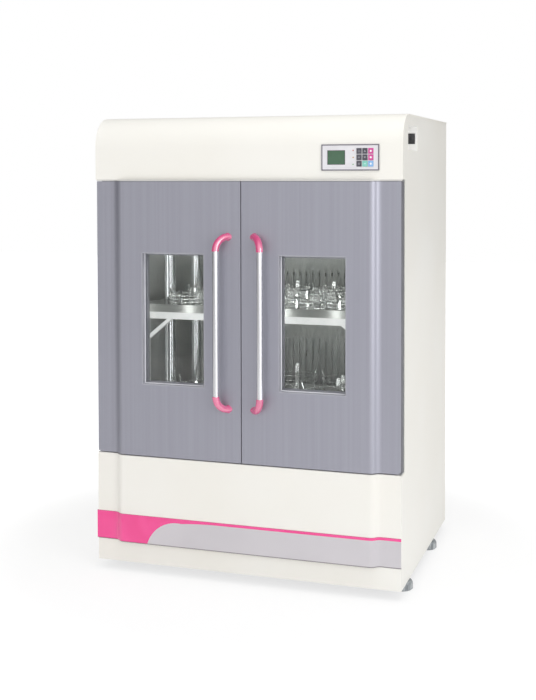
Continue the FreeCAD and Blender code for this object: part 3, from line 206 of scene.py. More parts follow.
def silver_lacquered_steel():
    """Lavender silver lacquer: metal flakes that shift with the light, in faint upright spray streaks."""
    material, tree, shader, place = begin("silver_lacquered_steel", Metallic=0.62, Coat_Weight=0.25,
                                          Coat_Roughness=0.16)
    streak = grain_lines(tree, place, (9, 9, 1400), 3.0)
    tone = add(tree, "ShaderNodeValToRGB", {"Fac": streak},
               stops=[(0.28, rgb("#9D9DA8")), (0.5, rgb("#A0A0AB")), (0.72, rgb("#A3A3AE"))])
    flake = add(tree, "ShaderNodeTexNoise", {"Vector": place, "Scale": per_mm(1.6), "Detail": 1.0})
    surfaced(tree, shader, tone, flake, (0.42, 0.52), (0.05, 0.2))
    return material


def painted_shade_lines(tree, place, colour, cut):
    """Darkens a colour in thin lines along a part's lower and upper cut edges: painted shade, where shadow
    falls along the edges.
    """
    level = add(tree, "ShaderNodeSeparateXYZ", {0: place}).outputs["Z"]
    lower = add(tree, "ShaderNodeMapRange", {"Value": level, "From Min": cut[0] + 1.4 * MM,
                                             "From Max": cut[0] + 2.4 * MM, "To Min": 0.55, "To Max": 0.0})
    upper = add(tree, "ShaderNodeMapRange", {"Value": level, "From Min": cut[1] - 1.8 * MM,
                                             "From Max": cut[1] - 0.8 * MM, "To Min": 0.0, "To Max": 0.45})
    amount = add(tree, "ShaderNodeMath", {0: lower, 1: upper}, operation="MAXIMUM")
    shaded = add(tree, "ShaderNodeMix", {"Factor": amount, 6: colour, 7: rgb(PAINTED_SHADE_LINE)}, data_type="RGBA")
    return shaded.outputs[2]


def gloss_abs(name, dark, light, coat_ior, cut=None):
    """Moulded gloss ABS: a clear shine over a colour with soft flow lines from the mould."""
    material, tree, shader, place = begin(name, IOR=1.53, Coat_Weight=1.0, Coat_Roughness=0.09,
                                          Coat_IOR=coat_ior)
    flow = add(tree, "ShaderNodeTexNoise", {"Vector": place, "Scale": per_mm(160), "Detail": 2.0,
                                            "Distortion": 1.2})
    tone = add(tree, "ShaderNodeValToRGB", {"Fac": flow}, stops=[(0.32, rgb(dark)), (0.66, rgb(light))])
    fine = add(tree, "ShaderNodeTexNoise", {"Vector": place, "Scale": per_mm(14), "Detail": 2.0})
    # Painted shade lines along the trim's lower and upper edges.
    colour = painted_shade_lines(tree, place, tone, cut) if cut else tone
    surfaced(tree, shader, colour, fine, (0.17, 0.25), (0.04, 0.5))
    return material


def matt_vinyl_film(cut):
    """Grey lavender vinyl film stuck on the panel: even and matt, with the faint print dot of about 2 mm."""
    material, tree, shader, place = begin("matt_vinyl_film", IOR=1.5)
    # Painted shade lines along the film's lower and upper edges.
    colour = painted_shade_lines(tree, place, two_tones(tree, place, 260, 2.0, "#CAC6CA", "#D2CED2"), cut)
    dot = add(tree, "ShaderNodeTexVoronoi", {"Vector": place, "Scale": per_mm(2.2)})
    surfaced(tree, shader, colour, dot, (0.42, 0.55), (0.05, 0.1), WHOLE_SPAN)
    return material


def painted_holes(tree, place, colour, pitch):
    """Draws a grid of round fixing holes of a pitch in millimetres on the level faces, as dark dots of painted
    shade.
    """
    flat = add(tree, "ShaderNodeMapping", {"Vector": place, "Scale": (per_mm(pitch), per_mm(pitch), 0.0)})
    grid = add(tree, "ShaderNodeTexVoronoi", {"Vector": flat, "Scale": 1.0, "Randomness": 0.0})
    inside = add(tree, "ShaderNodeMath", {0: grid, 1: 0.2}, operation="LESS_THAN")
    facing = add(tree, "ShaderNodeSeparateXYZ", {0: add(tree, "ShaderNodeTexCoord").outputs["Normal"]})
    level = add(tree, "ShaderNodeMath", {0: facing.outputs["Z"], 1: 0.5}, operation="GREATER_THAN")
    amount = add(tree, "ShaderNodeMath", {0: inside, 1: level}, operation="MULTIPLY")
    holed = add(tree, "ShaderNodeMix", {"Factor": amount, 6: colour, 7: rgb(HOLE_PAINTED_SHADE)}, data_type="RGBA")
    return holed.outputs[2]


def brushed_stainless(name, stretch, dark, light, low, high, pitch=None):
    """Brushed stainless: fine lines along the grain, drawn 2 mm wide so that they show, and dull patches."""
    material, tree, shader, place = begin(name, Metallic=1.0)
    line = grain_lines(tree, place, stretch, 4.0)
    tone = add(tree, "ShaderNodeValToRGB", {"Fac": line}, stops=[(0.3, rgb(dark)), (0.7, rgb(light))])
    patch = add(tree, "ShaderNodeTexNoise", {"Vector": place, "Scale": per_mm(90), "Detail": 3.0})
    mixed = add(tree, "ShaderNodeMath", {0: line, 1: patch}, operation="ADD")
    # Dark dots of painted shade for fixing holes, where a pitch is given.
    colour = painted_holes(tree, place, tone, pitch) if pitch else tone
    surfaced(tree, shader, colour, mixed, (low, high), (0.10, 0.2), (0.7, 1.3), line)
    return material


def anodised_aluminium():
    """Drawn and anodised aluminium tube: a satin white shine with drawing lines along its length."""
    material, tree, shader, place = begin("anodised_aluminium", Metallic=1.0)
    line = grain_lines(tree, place, (1.5, 1.5, 240), 3.0)
    tone = add(tree, "ShaderNodeValToRGB", {"Fac": line}, stops=[(0.3, rgb("#DADADE")), (0.7, rgb("#E6E6E9"))])
    surfaced(tree, shader, tone, line, (0.17, 0.26), (0.05, 0.1))
    return material


def ribbed_nylon():
    """Glossy grey nylon of the feet: moulded upright ribs of about 6 mm, in pale and dark stripes of painted
    highlight and painted shade.
    """
    material, tree, shader, place = begin("ribbed_nylon", IOR=1.53, Metallic=0.25, Coat_Weight=0.4,
                                          Coat_Roughness=0.1)
    rib = grain_lines(tree, place, (6, 6, 90), 2.0)
    # The pale and dark stripes are painted highlights and painted shade, not the nylon's own colour.
    tone = add(tree, "ShaderNodeValToRGB", {"Fac": rib}, stops=[(0.36, rgb("#74797D")), (0.60, rgb("#BCC1C3"))])
    surfaced(tree, shader, tone, rib, (0.34, 0.2), (0.35, 1.0))
    return material


def polished_chrome():
    """Chrome-plated tube: a mirror with hairline scratches round it."""
    material, tree, shader, place = begin("polished_chrome", Metallic=1.0)
    line = grain_lines(tree, place, (40, 40, 1.2), 3.0)
    tone = add(tree, "ShaderNodeValToRGB", {"Fac": line}, stops=[(0.3, rgb("#D5D7D9")), (0.7, rgb("#E6E7E8"))])
    surfaced(tree, shader, tone, line, (0.05, 0.16), span=(0.35, 0.75))
    return material


def sprayed_enamel(name, dark, light, low, high, peel_size):
    """Sprayed enamel or screen print: an even colour, a low sheen and a fine grain of the spray."""
    material, tree, shader, place = begin(name)
    colour = two_tones(tree, place, 130, 3.0, dark, light)
    peel = add(tree, "ShaderNodeTexNoise", {"Vector": place, "Scale": per_mm(peel_size), "Detail": 2.0})
    surfaced(tree, shader, colour, peel, (low, high), (0.15, 0.3))
    return material


def float_glass():
    """Float glass: hardly any tint, a mirror at a low angle, and wipe marks that dull it a little."""
    material, tree = blank("float_glass")
    place = add(tree, "ShaderNodeTexCoord").outputs["Object"]
    wipe = add(tree, "ShaderNodeTexNoise", {"Vector": place, "Scale": per_mm(70), "Detail": 4.0,
                                            "Distortion": 0.8})
    shine = add(tree, "ShaderNodeMapRange", {"Value": wipe, "From Min": 0.4, "From Max": 0.8,
                                             "To Min": 0.02, "To Max": 0.08})
    tint = add(tree, "ShaderNodeValToRGB", {"Fac": wipe}, stops=[(0.3, rgb("#FEFEFE")), (0.7, rgb("#FBFCFC"))])
    clear = add(tree, "ShaderNodeBsdfTransparent", {"Color": tint})
    mirror = add(tree, "ShaderNodeBsdfGlossy", {"Color": rgb("#FFFFFF"), "Roughness": shine})
    lean = add(tree, "ShaderNodeFresnel", {"IOR": 1.3})
    both = add(tree, "ShaderNodeMixShader", {0: lean, 1: clear, 2: mirror})
    add(tree, "ShaderNodeOutputMaterial", {"Surface": both})
    return material


def soft_rubber(name, dark, light, low, high):
    """Extruded rubber: a dull skin with dust-pale patches and a fine pitted grain of about 1 mm."""
    material, tree, shader, place = begin(name, IOR=1.5)
    colour = two_tones(tree, place, 45, 4.0, dark, light, 0.75)
    pit = add(tree, "ShaderNodeTexNoise", {"Vector": place, "Scale": per_mm(1.1), "Detail": 2.0})
    surfaced(tree, shader, colour, pit, (low, high), (0.25, 0.2))
    return material


def turned_metal(name, dark, light, low, high):
    """Turned and ground steel or cast aluminium: tool rings every 1.5 mm up the shaft and dull patches."""
    material, tree, shader, place = begin(name, Metallic=1.0)
    colour = two_tones(tree, place, 35, 4.0, dark, light)
    surfaced(tree, shader, colour, grain_lines(tree, place, (30, 30, 1.5), 3.0), (low, high), (0.2, 0.1))
    return material


def cast_iron():
    """Sand-cast iron with a thin coat of paint: a rough skin of 3 mm grains, dark with a little shine."""
    material, tree, shader, place = begin("cast_iron", Metallic=0.35)
    grain = add(tree, "ShaderNodeTexNoise", {"Vector": place, "Scale": per_mm(3), "Detail": 4.0,
                                             "Roughness": 0.6})
    tone = add(tree, "ShaderNodeValToRGB", {"Fac": grain}, stops=[(0.3, rgb("#3A3C3E")), (0.7, rgb("#55585A"))])
    surfaced(tree, shader, tone, grain, (0.5, 0.75), (0.6, 0.5), WHOLE_SPAN)
    return material


def moulded_plastic(name, dark, light, low, high, spark=1.6):
    """Moulded plastic with a spark-eroded grain of 2 or 3 mm that keeps its shine low."""
    material, tree, shader, place = begin(name, IOR=1.5)
    colour = two_tones(tree, place, 28, 3.0, dark, light)
    grain = add(tree, "ShaderNodeTexVoronoi", {"Vector": place, "Scale": per_mm(spark)})
    surfaced(tree, shader, colour, grain, (low, high), (0.15, 0.15), WHOLE_SPAN)
    return material


def bordered(tree, place, face, centre, half_width, half_height, soft_edge, border):
    """Draws a border of another colour outside an upright rectangle, over a soft edge given in millimetres."""
    centred = add(tree, "ShaderNodeVectorMath", {0: place, 1: centre}, operation="SUBTRACT")
    parts = add(tree, "ShaderNodeSeparateXYZ", {0: centred})
    past = []
    for direction, half in (("X", half_width), ("Z", half_height)):
        reach = add(tree, "ShaderNodeMath", {0: parts.outputs[direction]}, operation="ABSOLUTE")
        past.append(add(tree, "ShaderNodeMath", {0: reach, 1: half}, operation="SUBTRACT"))
    furthest = add(tree, "ShaderNodeMath", {0: past[0], 1: past[1]}, operation="MAXIMUM")
    outside = add(tree, "ShaderNodeMapRange", {"Value": furthest, "From Min": soft_edge[0] * MM,
                                               "From Max": soft_edge[1] * MM})
    tone = add(tree, "ShaderNodeMix", {"Factor": outside, 6: face, 7: rgb(border)}, data_type="RGBA")
    return tone.outputs[2]


def printed_polyester(centre, half_width, half_height):
    """Printed polyester overlay: a pale lavender face with a fine hammered grain, and a dark printed border."""
    material, tree, shader, place = begin("printed_polyester", IOR=1.57)
    face = two_tones(tree, place, 60, 2.0, "#DEDCE0", "#E8E6EA")
    colour = bordered(tree, place, face, centre, half_width, half_height, (-0.2, 0.2), "#6E6A76")
    grain = add(tree, "ShaderNodeTexVoronoi", {"Vector": place, "Scale": per_mm(0.9)})
    surfaced(tree, shader, colour, grain, (0.3, 0.45), (0.08, 0.1), WHOLE_SPAN)
    return material


def green_display(centre, half_width, half_height):
    """A reflective green display under clear plastic: a dark surround, and the fine pixel grid of 0.9 mm."""
    material, tree, shader, place = begin("green_display", IOR=1.5, Coat_Weight=0.5, Coat_Roughness=0.04)
    face = two_tones(tree, place, 40, 1.0, "#325A3D", "#3A6347")
    colour = bordered(tree, place, face, centre, half_width, half_height, (-0.6, 0.3), "#3B4A42")
    grid = add(tree, "ShaderNodeTexVoronoi", {"Vector": place, "Scale": per_mm(0.9), "Randomness": 0.0})
    surfaced(tree, shader, colour, grid, (0.12, 0.25), span=WHOLE_SPAN)
    return material


def lamp_lens(name, code):
    """A small clear lamp lens: deep colour with dull specks of 1 mm under a hard shine."""
    material, tree, shader, place = begin(name, IOR=1.49, Coat_Weight=0.6, Coat_Roughness=0.03)
    speck = add(tree, "ShaderNodeTexNoise", {"Vector": place, "Scale": per_mm(1.0)})
    tone = add(tree, "ShaderNodeValToRGB", {"Fac": speck}, stops=[(0.2, rgb("#7A6A6A")), (0.5, rgb(code))])
    surfaced(tree, shader, tone, speck, (0.08, 0.2), span=WHOLE_SPAN)
    return material


plate_low, plate_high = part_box("panel_plate")
plate_centre = middle((plate_low, plate_high))
plate_half = (plate_high - plate_low) / 2
PLATE_RIM = 3.5 * MM
DISPLAY_HALF_WIDTH = 27.6 * MM
DISPLAY_HALF_HEIGHT = 21.2 * MM
trim_low, trim_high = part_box("accent_trim")
trim_cut = (trim_low.z, trim_high.z)
UPRIGHT_BRUSHING = (2.0, 2.0, 260)
TRAY_HOLE_PITCH = 25.0

finishes = {
    "cabinet_enamel": powder_coated_steel(),
    "base_enamel": sprayed_enamel("base_enamel", "#85868A", "#929397", 0.55, 0.7, 2.5),
    "foot_plastic": ribbed_nylon(),
    "door_enamel": silver_lacquered_steel(),
    "accent_plastic": gloss_abs("pink_gloss_abs", "#F2338C", "#FA4699", 1.5, trim_cut),
    "band_film": matt_vinyl_film(trim_cut),
    "stainless": brushed_stainless("brushed_stainless_upright", UPRIGHT_BRUSHING, "#C3C5C2", "#D6D8D5",
                                   0.26, 0.46),
    "handle_aluminium": anodised_aluminium(),
    "post_chrome": polished_chrome(),
    "frame_enamel": sprayed_enamel("white_enamel", "#EDEEEC", "#F5F6F4", 0.36, 0.48, 2.2),
    "frame_trim": sprayed_enamel("sleeve_grey_enamel", "#A2A2AB", "#ABABB3", 0.35, 0.48, 2.2),
    "glass": float_glass(),
    "seal_rubber": soft_rubber("grey_silicone", "#8E8F93", "#A6A7AB", 0.5, 0.68),
    "platform_aluminium": turned_metal("milled_aluminium", "#A9ABAD", "#C0C2C4", 0.3, 0.45),
    "drive_steel": turned_metal("ground_steel", "#85888B", "#A0A3A6", 0.22, 0.38),
    "drive_iron": cast_iron(),
    "stand_enamel": sprayed_enamel("stand_enamel", "#55595F", "#62666C", 0.45, 0.6, 2.5),
    "motor_enamel": sprayed_enamel("motor_hammer_enamel", "#3F5468", "#4D647A", 0.35, 0.55, 5.0),
    "belt_rubber": soft_rubber("neoprene_belt", "#141414", "#242424", 0.55, 0.75),
    "panel_face": printed_polyester(plate_centre, plate_half.x - PLATE_RIM, plate_half.z - PLATE_RIM),
    "display_glass": green_display(middle(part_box("lcd_display")), DISPLAY_HALF_WIDTH, DISPLAY_HALF_HEIGHT),
    "board_laminate": moulded_plastic("epoxy_board", "#1C5A34", "#24693E", 0.3, 0.45),
    "key_dark": moulded_plastic("key_dark_grey", "#47444E", "#55525C", 0.38, 0.5),
    "key_magenta": moulded_plastic("key_magenta", "#CE4C96", "#D85CA2", 0.38, 0.5),
    "key_mint": moulded_plastic("key_mint", "#86CDBE", "#95D8CA", 0.38, 0.5),
    "key_blue": moulded_plastic("key_blue", "#86B4E4", "#95C0EC", 0.38, 0.5),
    "housing_plastic": moulded_plastic("white_pocket_abs", "#F2F1EE", "#FAF9F7", 0.35, 0.5),
    "switch_plastic": moulded_plastic("black_polyamide", "#262629", "#4A4A4D", 0.25, 0.4, 3.0),
}
tray_stainless = brushed_stainless("brushed_stainless_across", (240, 2.0, 2.0), "#A9ABA7", "#BBBDB9",
                                   0.42, 0.56, TRAY_HOLE_PITCH)
clamp_stainless = brushed_stainless("spring_stainless", (12, 12, 12), "#DFE1DF", "#F6F7F5", 0.08, 0.22)
ring_stainless = brushed_stainless("drawn_ring_stainless", (9, 9, 9), "#E4E6E4", "#F8F9F8", 0.16, 0.30)
# A darker copy of the brushed stainless: painted shade for the back of the chamber.
duct_stainless = brushed_stainless("duct_stainless", UPRIGHT_BRUSHING, "#8C8F8B", "#A1A4A0", 0.26, 0.44)
# A darker copy of the pink for the handle ends: the darker colour is painted shade on the elbows, while the
# stronger coat gives their shine.
handle_abs = gloss_abs("pink_handle_abs", "#D92E78", "#E84288", 2.6)
zinc_plate = turned_metal("zinc_plate", "#B9BBBD", "#D0D2D3", 0.22, 0.36)
glazing_silicone = soft_rubber("glazing_silicone", "#D9D9DE", "#ECECF0", 0.4, 0.55)
# Dark rubber for the seam under the trim and the film: a rubber strip, dark also as painted shadow in the seam.
seam_rubber = soft_rubber("seam_rubber", "#5F5E63", "#727177", 0.5, 0.65)
# Dark rubber for the door sides: painted shade for the side faces of the doors.
edge_rubber = soft_rubber("edge_rubber", "#67676D", "#75757B", 0.5, 0.65)
# A greyed copy of the cream enamel: painted shade for the underside of the head above the doors.
head_edge_enamel = sprayed_enamel("head_edge_enamel", "#D4D2CE", "#DEDCD8", 0.45, 0.6, 2.5)
sill_edge_enamel = sprayed_enamel("sill_edge_enamel", "#E6E4DF", "#EEECE8", 0.45, 0.6, 2.5)
print_white = sprayed_enamel("screen_print_white", "#F2F2F4", "#FFFFFF", 0.4, 0.5, 3.0)
print_grey = sprayed_enamel("screen_print_grey", "#A9A7B0", "#B8B6BE", 0.4, 0.5, 3.0)
blank_plate = brushed_stainless("blank_aluminium_plate", (30, 2.0, 0.8), "#9EA0A3", "#B4B6B8", 0.25, 0.4)


def dress_nodes():
    """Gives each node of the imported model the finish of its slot, with a finer choice for a few nodes."""
    chosen = {entry["node"]: finishes[entry["material_slot"]] for entry in record["subparts"]}
    chosen.update(deck_trays=tray_stainless, air_duct_panel=duct_stainless, hinge_brackets=zinc_plate,
                  handle_ends_left=handle_abs, handle_ends_right=handle_abs)
    for node, finish in chosen.items():
        nodes[node].material_slots[0].material = finish


# Shapes: each is a list of corners and a list of faces

CREASE = 35
WIDE_CREASE = 60


def skin(rows, columns, closed):
    """Faces between rows of points. Each row runs in a round, and so do the rows where they are closed."""
    faces = []
    for i in range(rows if closed else rows - 1):
        a = i * columns
        b = (i + 1) % rows * columns
        for k in range(columns):
            m = (k + 1) % columns
            faces.append((a + k, a + m, b + m, b + k))
    return faces


def turned(profile, centre, axis, steps=24):
    """A turned shape: the profile's (radius, height) points go round an axis through the centre."""
    axis = axis.normalized()
    side = axis.orthogonal().normalized()
    other = axis.cross(side)
    corners = []
    for radius, height in profile:
        for i in range(steps):
            angle = 2 * math.pi * i / steps
            corners.append(centre + axis * height + (side * math.cos(angle) + other * math.sin(angle)) * radius)
    return corners, skin(len(profile), steps, False)


def drawn_out(outline, shift):
    """A flat outline drawn out along a vector."""
    count = len(outline)
    corners = list(outline) + [point + shift for point in outline]
    faces = [tuple(range(count)), tuple(range(2 * count - 1, count - 1, -1))]
    faces += [(i, (i + 1) % count, count + (i + 1) % count, count + i) for i in range(count)]
    return corners, faces


def rounded_loop(x0, x1, z0, z1, radius, steps=6):
    """Points round an upright rectangle with rounded corners, each with its outward direction."""
    loop = []
    for cx, cz, first in ((x1 - radius, z1 - radius, 0), (x0 + radius, z1 - radius, 90),
                          (x0 + radius, z0 + radius, 180), (x1 - radius, z0 + radius, 270)):
        for k in range(steps + 1):
            angle = math.radians(first + 90 * k / steps)
            out = Vector((math.cos(angle), 0, math.sin(angle)))
            loop.append((Vector((cx, 0, cz)) + out * radius, out))
    return loop


def moulding(loop, section):
    """A closed moulding: a section of (outward, y) points carried round a loop."""
    corners = [point + out * u + Y * v for point, out in loop for u, v in section]
    return corners, skin(len(loop), len(section), True)


def wire_ring(points, radius, sides):
    """A round wire along a closed run of points."""
    corners = []
    side = None
    for i, point in enumerate(points):
        along = (points[(i + 1) % len(points)] - points[i - 1]).normalized()
        side = along.orthogonal() if side is None else side - along * side.dot(along)
        side.normalize()
        other = along.cross(side)
        for k in range(sides):
            angle = 2 * math.pi * k / sides
            corners.append(point + (side * math.cos(angle) + other * math.sin(angle)) * radius)
    return corners, skin(len(points), sides, True)


def piece(name, shapes, body, finish, replaces=(), crease=CREASE):
    """Joins shapes into one named piece with a finish, which rides on a body.

    Edges that fold by more than the crease, in degrees, stay sharp.
    """
    corners, faces = [], []
    for shape_corners, shape_faces in shapes:
        base = len(corners)
        corners += shape_corners
        faces += [[base + index for index in face] for face in shape_faces]
    mesh = bpy.data.meshes.new(name)
    mesh.from_pydata(corners, [], faces)
    draft = bmesh.new()
    draft.from_mesh(mesh)
    bmesh.ops.remove_doubles(draft, verts=draft.verts, dist=0.001 * MM)
    bmesh.ops.recalc_face_normals(draft, faces=draft.faces)
    draft.to_mesh(mesh)
    draft.free()
    mesh.shade_smooth()
    mesh.set_sharp_from_angle(angle=math.radians(crease))
    mesh.materials.append(finish)
    whole = bpy.data.objects.new(name, mesh)
    bpy.context.scene.collection.objects.link(whole)
    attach(whole, body)
    if replaces:
        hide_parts(*replaces)


def screw_head(place, axis, radius, height):
    """A button-head screw with a socket, standing on a surface."""
    profile = [(0, 0.45 * height), (0.45 * radius, 0.45 * height), (0.5 * radius, height),
               (0.8 * radius, 0.86 * height), (radius, 0.4 * height), (radius, 0), (0, 0)]
    return turned(profile, place, axis, steps=12)


# Door seals and glazing

SEAL_WIDTH = 22.0 * MM
SEAL_CORNER = 5.0 * MM
BEAD_LEG = 2.4 * MM
BEAD_CORNER = 2.0 * MM


def door_seals():
    """Magnetic bellows seals round the back of each door: a foot, two folds and the flat magnet strip."""
    half = [(0.02, 0.0), (0.0, 0.12), (0.07, 0.22), (0.14, 0.32), (0.07, 0.42), (0.02, 0.52), (0.09, 0.62),
            (0.16, 0.70), (0.11, 0.78), (0.10, 0.92), (0.15, 1.0)]
    for side in ("left", "right"):
        low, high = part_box(f"door_gasket_{side}")
        depth = high.y - low.y
        section = [(-share * SEAL_WIDTH, low.y + rise * depth) for share, rise in half]
        section += [(-(1 - share) * SEAL_WIDTH, low.y + rise * depth) for share, rise in reversed(half)]
        loop = rounded_loop(low.x, high.x, low.z, high.z, SEAL_CORNER)
        piece(f"bellows_seal_{side}", [moulding(loop, section)], f"door_{side}",
              finishes["seal_rubber"], replaces=(f"door_gasket_{side}",))


def glazing_beads():
    """Rubber beads that hold the outer and the inner pane of each window in its sleeve."""
    half = [(0, 0), (0, 1), (-0.22, 0.98), (-0.5, 0.6), (-0.9, 0.35), (-1, 0)]
    for side in ("left", "right"):
        low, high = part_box(f"window_glass_{side}")
        loop = rounded_loop(low.x, high.x, low.z, high.z, BEAD_CORNER, steps=4)
        shapes = [moulding(loop, [(u * BEAD_LEG, face + way * v * BEAD_LEG) for u, v in half])
                  for face, way in ((low.y, -1), (high.y, 1))]
        piece(f"glazing_beads_{side}", shapes, f"door_{side}", glazing_silicone)


# Decks

CLAMP_SHEET = 1.5 * MM
CLAMP_GAP = 1.0 * MM
CLAMP_FOOT_GAP = 0.5 * MM
FINGERS = 4
FINGER_WIDTH = 15.0 * MM
PINCH = 3.0 * MM
FLARE = 5.0 * MM
PINCH_SHARE = 0.72
COIL_POINTS = 6
SPRING_COIL = 2.8 * MM
SPRING_PITCH = 5.2 * MM
SPRING_WIRE = 0.8 * MM
RING_LEVELS = (0.4, 0.56)
RING_WIRE = 1.5 * MM
RING_POINTS = 56
SPRING_GAP = 3.0 * MM
RING_GAP = 1.2 * MM
CENTRE_SCREW = (6.5 * MM, 3.5 * MM)
BASE_SCREW = (3.6 * MM, 2.2 * MM)
BASE_SCREW_SHARE = 0.93
POST_RADIUS = 21.0 * MM
TRAY_LIP = 27.0 * MM
TRAY_SHEET = 2.0 * MM
SLIP = 0.3 * MM


def finger(centre, turn, radius, height):
    """One sprung finger of a clamp: a strip that follows the round, leans in, and flares at its rounded tip."""
    stations = [(-7.0 * MM, 0.4 * MM, 1.0), (-2.0 * MM, 0.6 * MM, 1.0), (0.0, 3.0 * MM, 1.0),
                (-0.45 * PINCH, 0.32 * height, 0.92), (-0.85 * PINCH, 0.6 * height, 0.86),
                (-PINCH, PINCH_SHARE * height, 0.86), (-0.5 * PINCH, 0.79 * height, 0.9),
                (0.45 * FLARE, 0.9 * height, 0.96), (0.85 * FLARE, 0.97 * height, 0.8), (FLARE, height, 0.5)]
    spread = (-1.0, -0.5, 0.0, 0.5, 1.0)
    corners = []
    for out in (0.0, CLAMP_SHEET):
        for reach, rise, width_share in stations:
            for step in spread:
                angle = turn + step * width_share * FINGER_WIDTH / 2 / radius
                r = radius + reach + out
                corners.append(centre + Vector((r * math.cos(angle), r * math.sin(angle), rise)))
    rows, columns = len(stations), len(spread)
    back = rows * columns
    faces = []
    for i in range(rows - 1):
        for k in range(columns - 1):
            a = i * columns + k
            faces.append((a, a + 1, a + columns + 1, a + columns))
            faces.append((back + a, back + a + columns, back + a + columns + 1, back + a + 1))
    rim = [i * columns for i in range(rows)] + [(rows - 1) * columns + k for k in range(1, columns)]
    rim += [i * columns + columns - 1 for i in range(rows - 2, -1, -1)] + list(range(columns - 2, 0, -1))
    for i, a in enumerate(rim):
        b = rim[(i + 1) % len(rim)]
        faces.append((a, b, back + b, back + a))
    return corners, faces


def garter_spring(centre, radius):
    """A coil spring bent into a ring round the fingers."""
    count = round(2 * math.pi * radius / SPRING_PITCH) * COIL_POINTS
    points = []
    for i in range(count):
        round_angle = 2 * math.pi * i / count
        coil_angle = 2 * math.pi * i / COIL_POINTS
        r = radius + SPRING_COIL * math.cos(coil_angle)
        points.append(centre + Vector((r * math.cos(round_angle), r * math.sin(round_angle),
                                       SPRING_COIL * math.sin(coil_angle))))
    return wire_ring(points, SPRING_WIRE, sides=4)


def flask_clamps():
    """The clamps of both decks: a pressed base, four fingers, screws, wire rings and a spring ring."""
    bodies, springs, rings, screws = [], [], [], []
    quarter = 2 * math.pi / FINGERS
    for name, box in openings.items():
        if "_clamp_" not in name:
            continue
        centre = middle(box)
        radius = (box[1][0] - box[0][0]) / 2 + PINCH + CLAMP_GAP
        foot = box[0][2] - CLAMP_SHEET - CLAMP_FOOT_GAP
        height = box[1][2] - foot
        centre.z = foot
        base = [(0, 0), (radius + CLAMP_SHEET, 0), (radius + CLAMP_SHEET, CLAMP_SHEET),
                (0.86 * radius, CLAMP_SHEET), (0.82 * radius, 2.2 * CLAMP_SHEET),
                (0.45 * radius, 2.2 * CLAMP_SHEET), (0.40 * radius, CLAMP_SHEET), (0, CLAMP_SHEET)]
        bodies.append(turned(base, centre, Z, steps=40))
        bodies += [finger(centre, quarter * i, radius, height) for i in range(FINGERS)]
        waist = centre + Z * PINCH_SHARE * height
        springs.append(garter_spring(waist, radius - PINCH + CLAMP_SHEET + SPRING_GAP))
        reach = radius - 0.45 * PINCH + CLAMP_SHEET + RING_GAP
        around = [2 * math.pi * i / RING_POINTS for i in range(RING_POINTS)]
        for share in RING_LEVELS:
            rings.append(wire_ring([centre + Vector((reach * math.cos(angle), reach * math.sin(angle),
                                                     share * height)) for angle in around], RING_WIRE, sides=8))
        top = centre + Z * CLAMP_SHEET
        screws.append(screw_head(top, Z, *CENTRE_SCREW))
        for i in range(FINGERS):
            angle = quarter * (i + 0.5)
            out = Vector((math.cos(angle), math.sin(angle), 0)) * BASE_SCREW_SHARE * radius
            screws.append(screw_head(top + out, Z, *BASE_SCREW))
    piece("sprung_flask_clamps", bodies, "platform", clamp_stainless, replaces=("flask_clamps",))
    piece("clamp_springs", springs, "platform", clamp_stainless, crease=WIDE_CREASE)
    piece("clamp_rings", rings, "platform", ring_stainless, crease=WIDE_CREASE)
    piece("clamp_screws", screws, "platform", zinc_plate)


def post_fittings():
    """Domed caps on the round posts, and flanged collars where they pass or stand on a deck."""
    low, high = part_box("deck_posts")
    tray_low, tray_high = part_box("deck_trays")
    radius = POST_RADIUS
    deck = tray_high.z - TRAY_LIP + TRAY_SHEET
    floor = tray_low.z + TRAY_SHEET
    collar = [(radius + SLIP, 0), (radius + 11.0 * MM, 0), (radius + 11.0 * MM, 2.0 * MM),
              (radius + 9.5 * MM, 3.2 * MM), (radius + 4.5 * MM, 4.2 * MM), (radius + 3.0 * MM, 9.0 * MM),
              (radius + SLIP, 10.0 * MM), (radius + SLIP, 0)]
    cap = [(radius + SLIP, -9.0 * MM), (radius + 1.6 * MM, -8.0 * MM), (radius + 1.6 * MM, -1.0 * MM),
           (radius + 0.6 * MM, 1.4 * MM), (0.8 * radius, 3.4 * MM), (0.5 * radius, 4.6 * MM), (0, 5.2 * MM)]
    collars, caps = [], []
    for x in (low.x + radius, high.x - radius):
        for y in (low.y + radius, high.y - radius):
            collars += [turned(collar, Vector((x, y, level)), Z) for level in (deck, floor)]
            caps.append(turned(cap, Vector((x, y, high.z)), Z))
    piece("post_collars", collars, "platform", finishes["post_chrome"])
    piece("post_caps", caps, "platform", finishes["post_chrome"])


# Strips on the curved front and guards on the doors

STEP_INNER = 436.0 * MM
STEP_OUTER = 476.0 * MM
ARC_STEPS = 6
HEAD_GAP = 6.0 * MM
STRIP_DEPTH = 12.0 * MM
SEAM_DEPTH = 6.0 * MM
EDGE_SETBACK = 0.4 * MM
HEAD_SETBACK = 1.2 * MM
HEAD_STRIP = 4.6 * MM
SILL_STRIP = 2.2 * MM
FOOT_SEAM = 1.8 * MM
GUARD_THICKNESS = 0.7 * MM
GUARD_CHAMFER = 1.0 * MM
GUARD_FROM_FRONT = 3.0 * MM
GUARD_FROM_BACK = 0.5 * MM
GUARD_FROM_END = 1.0 * MM


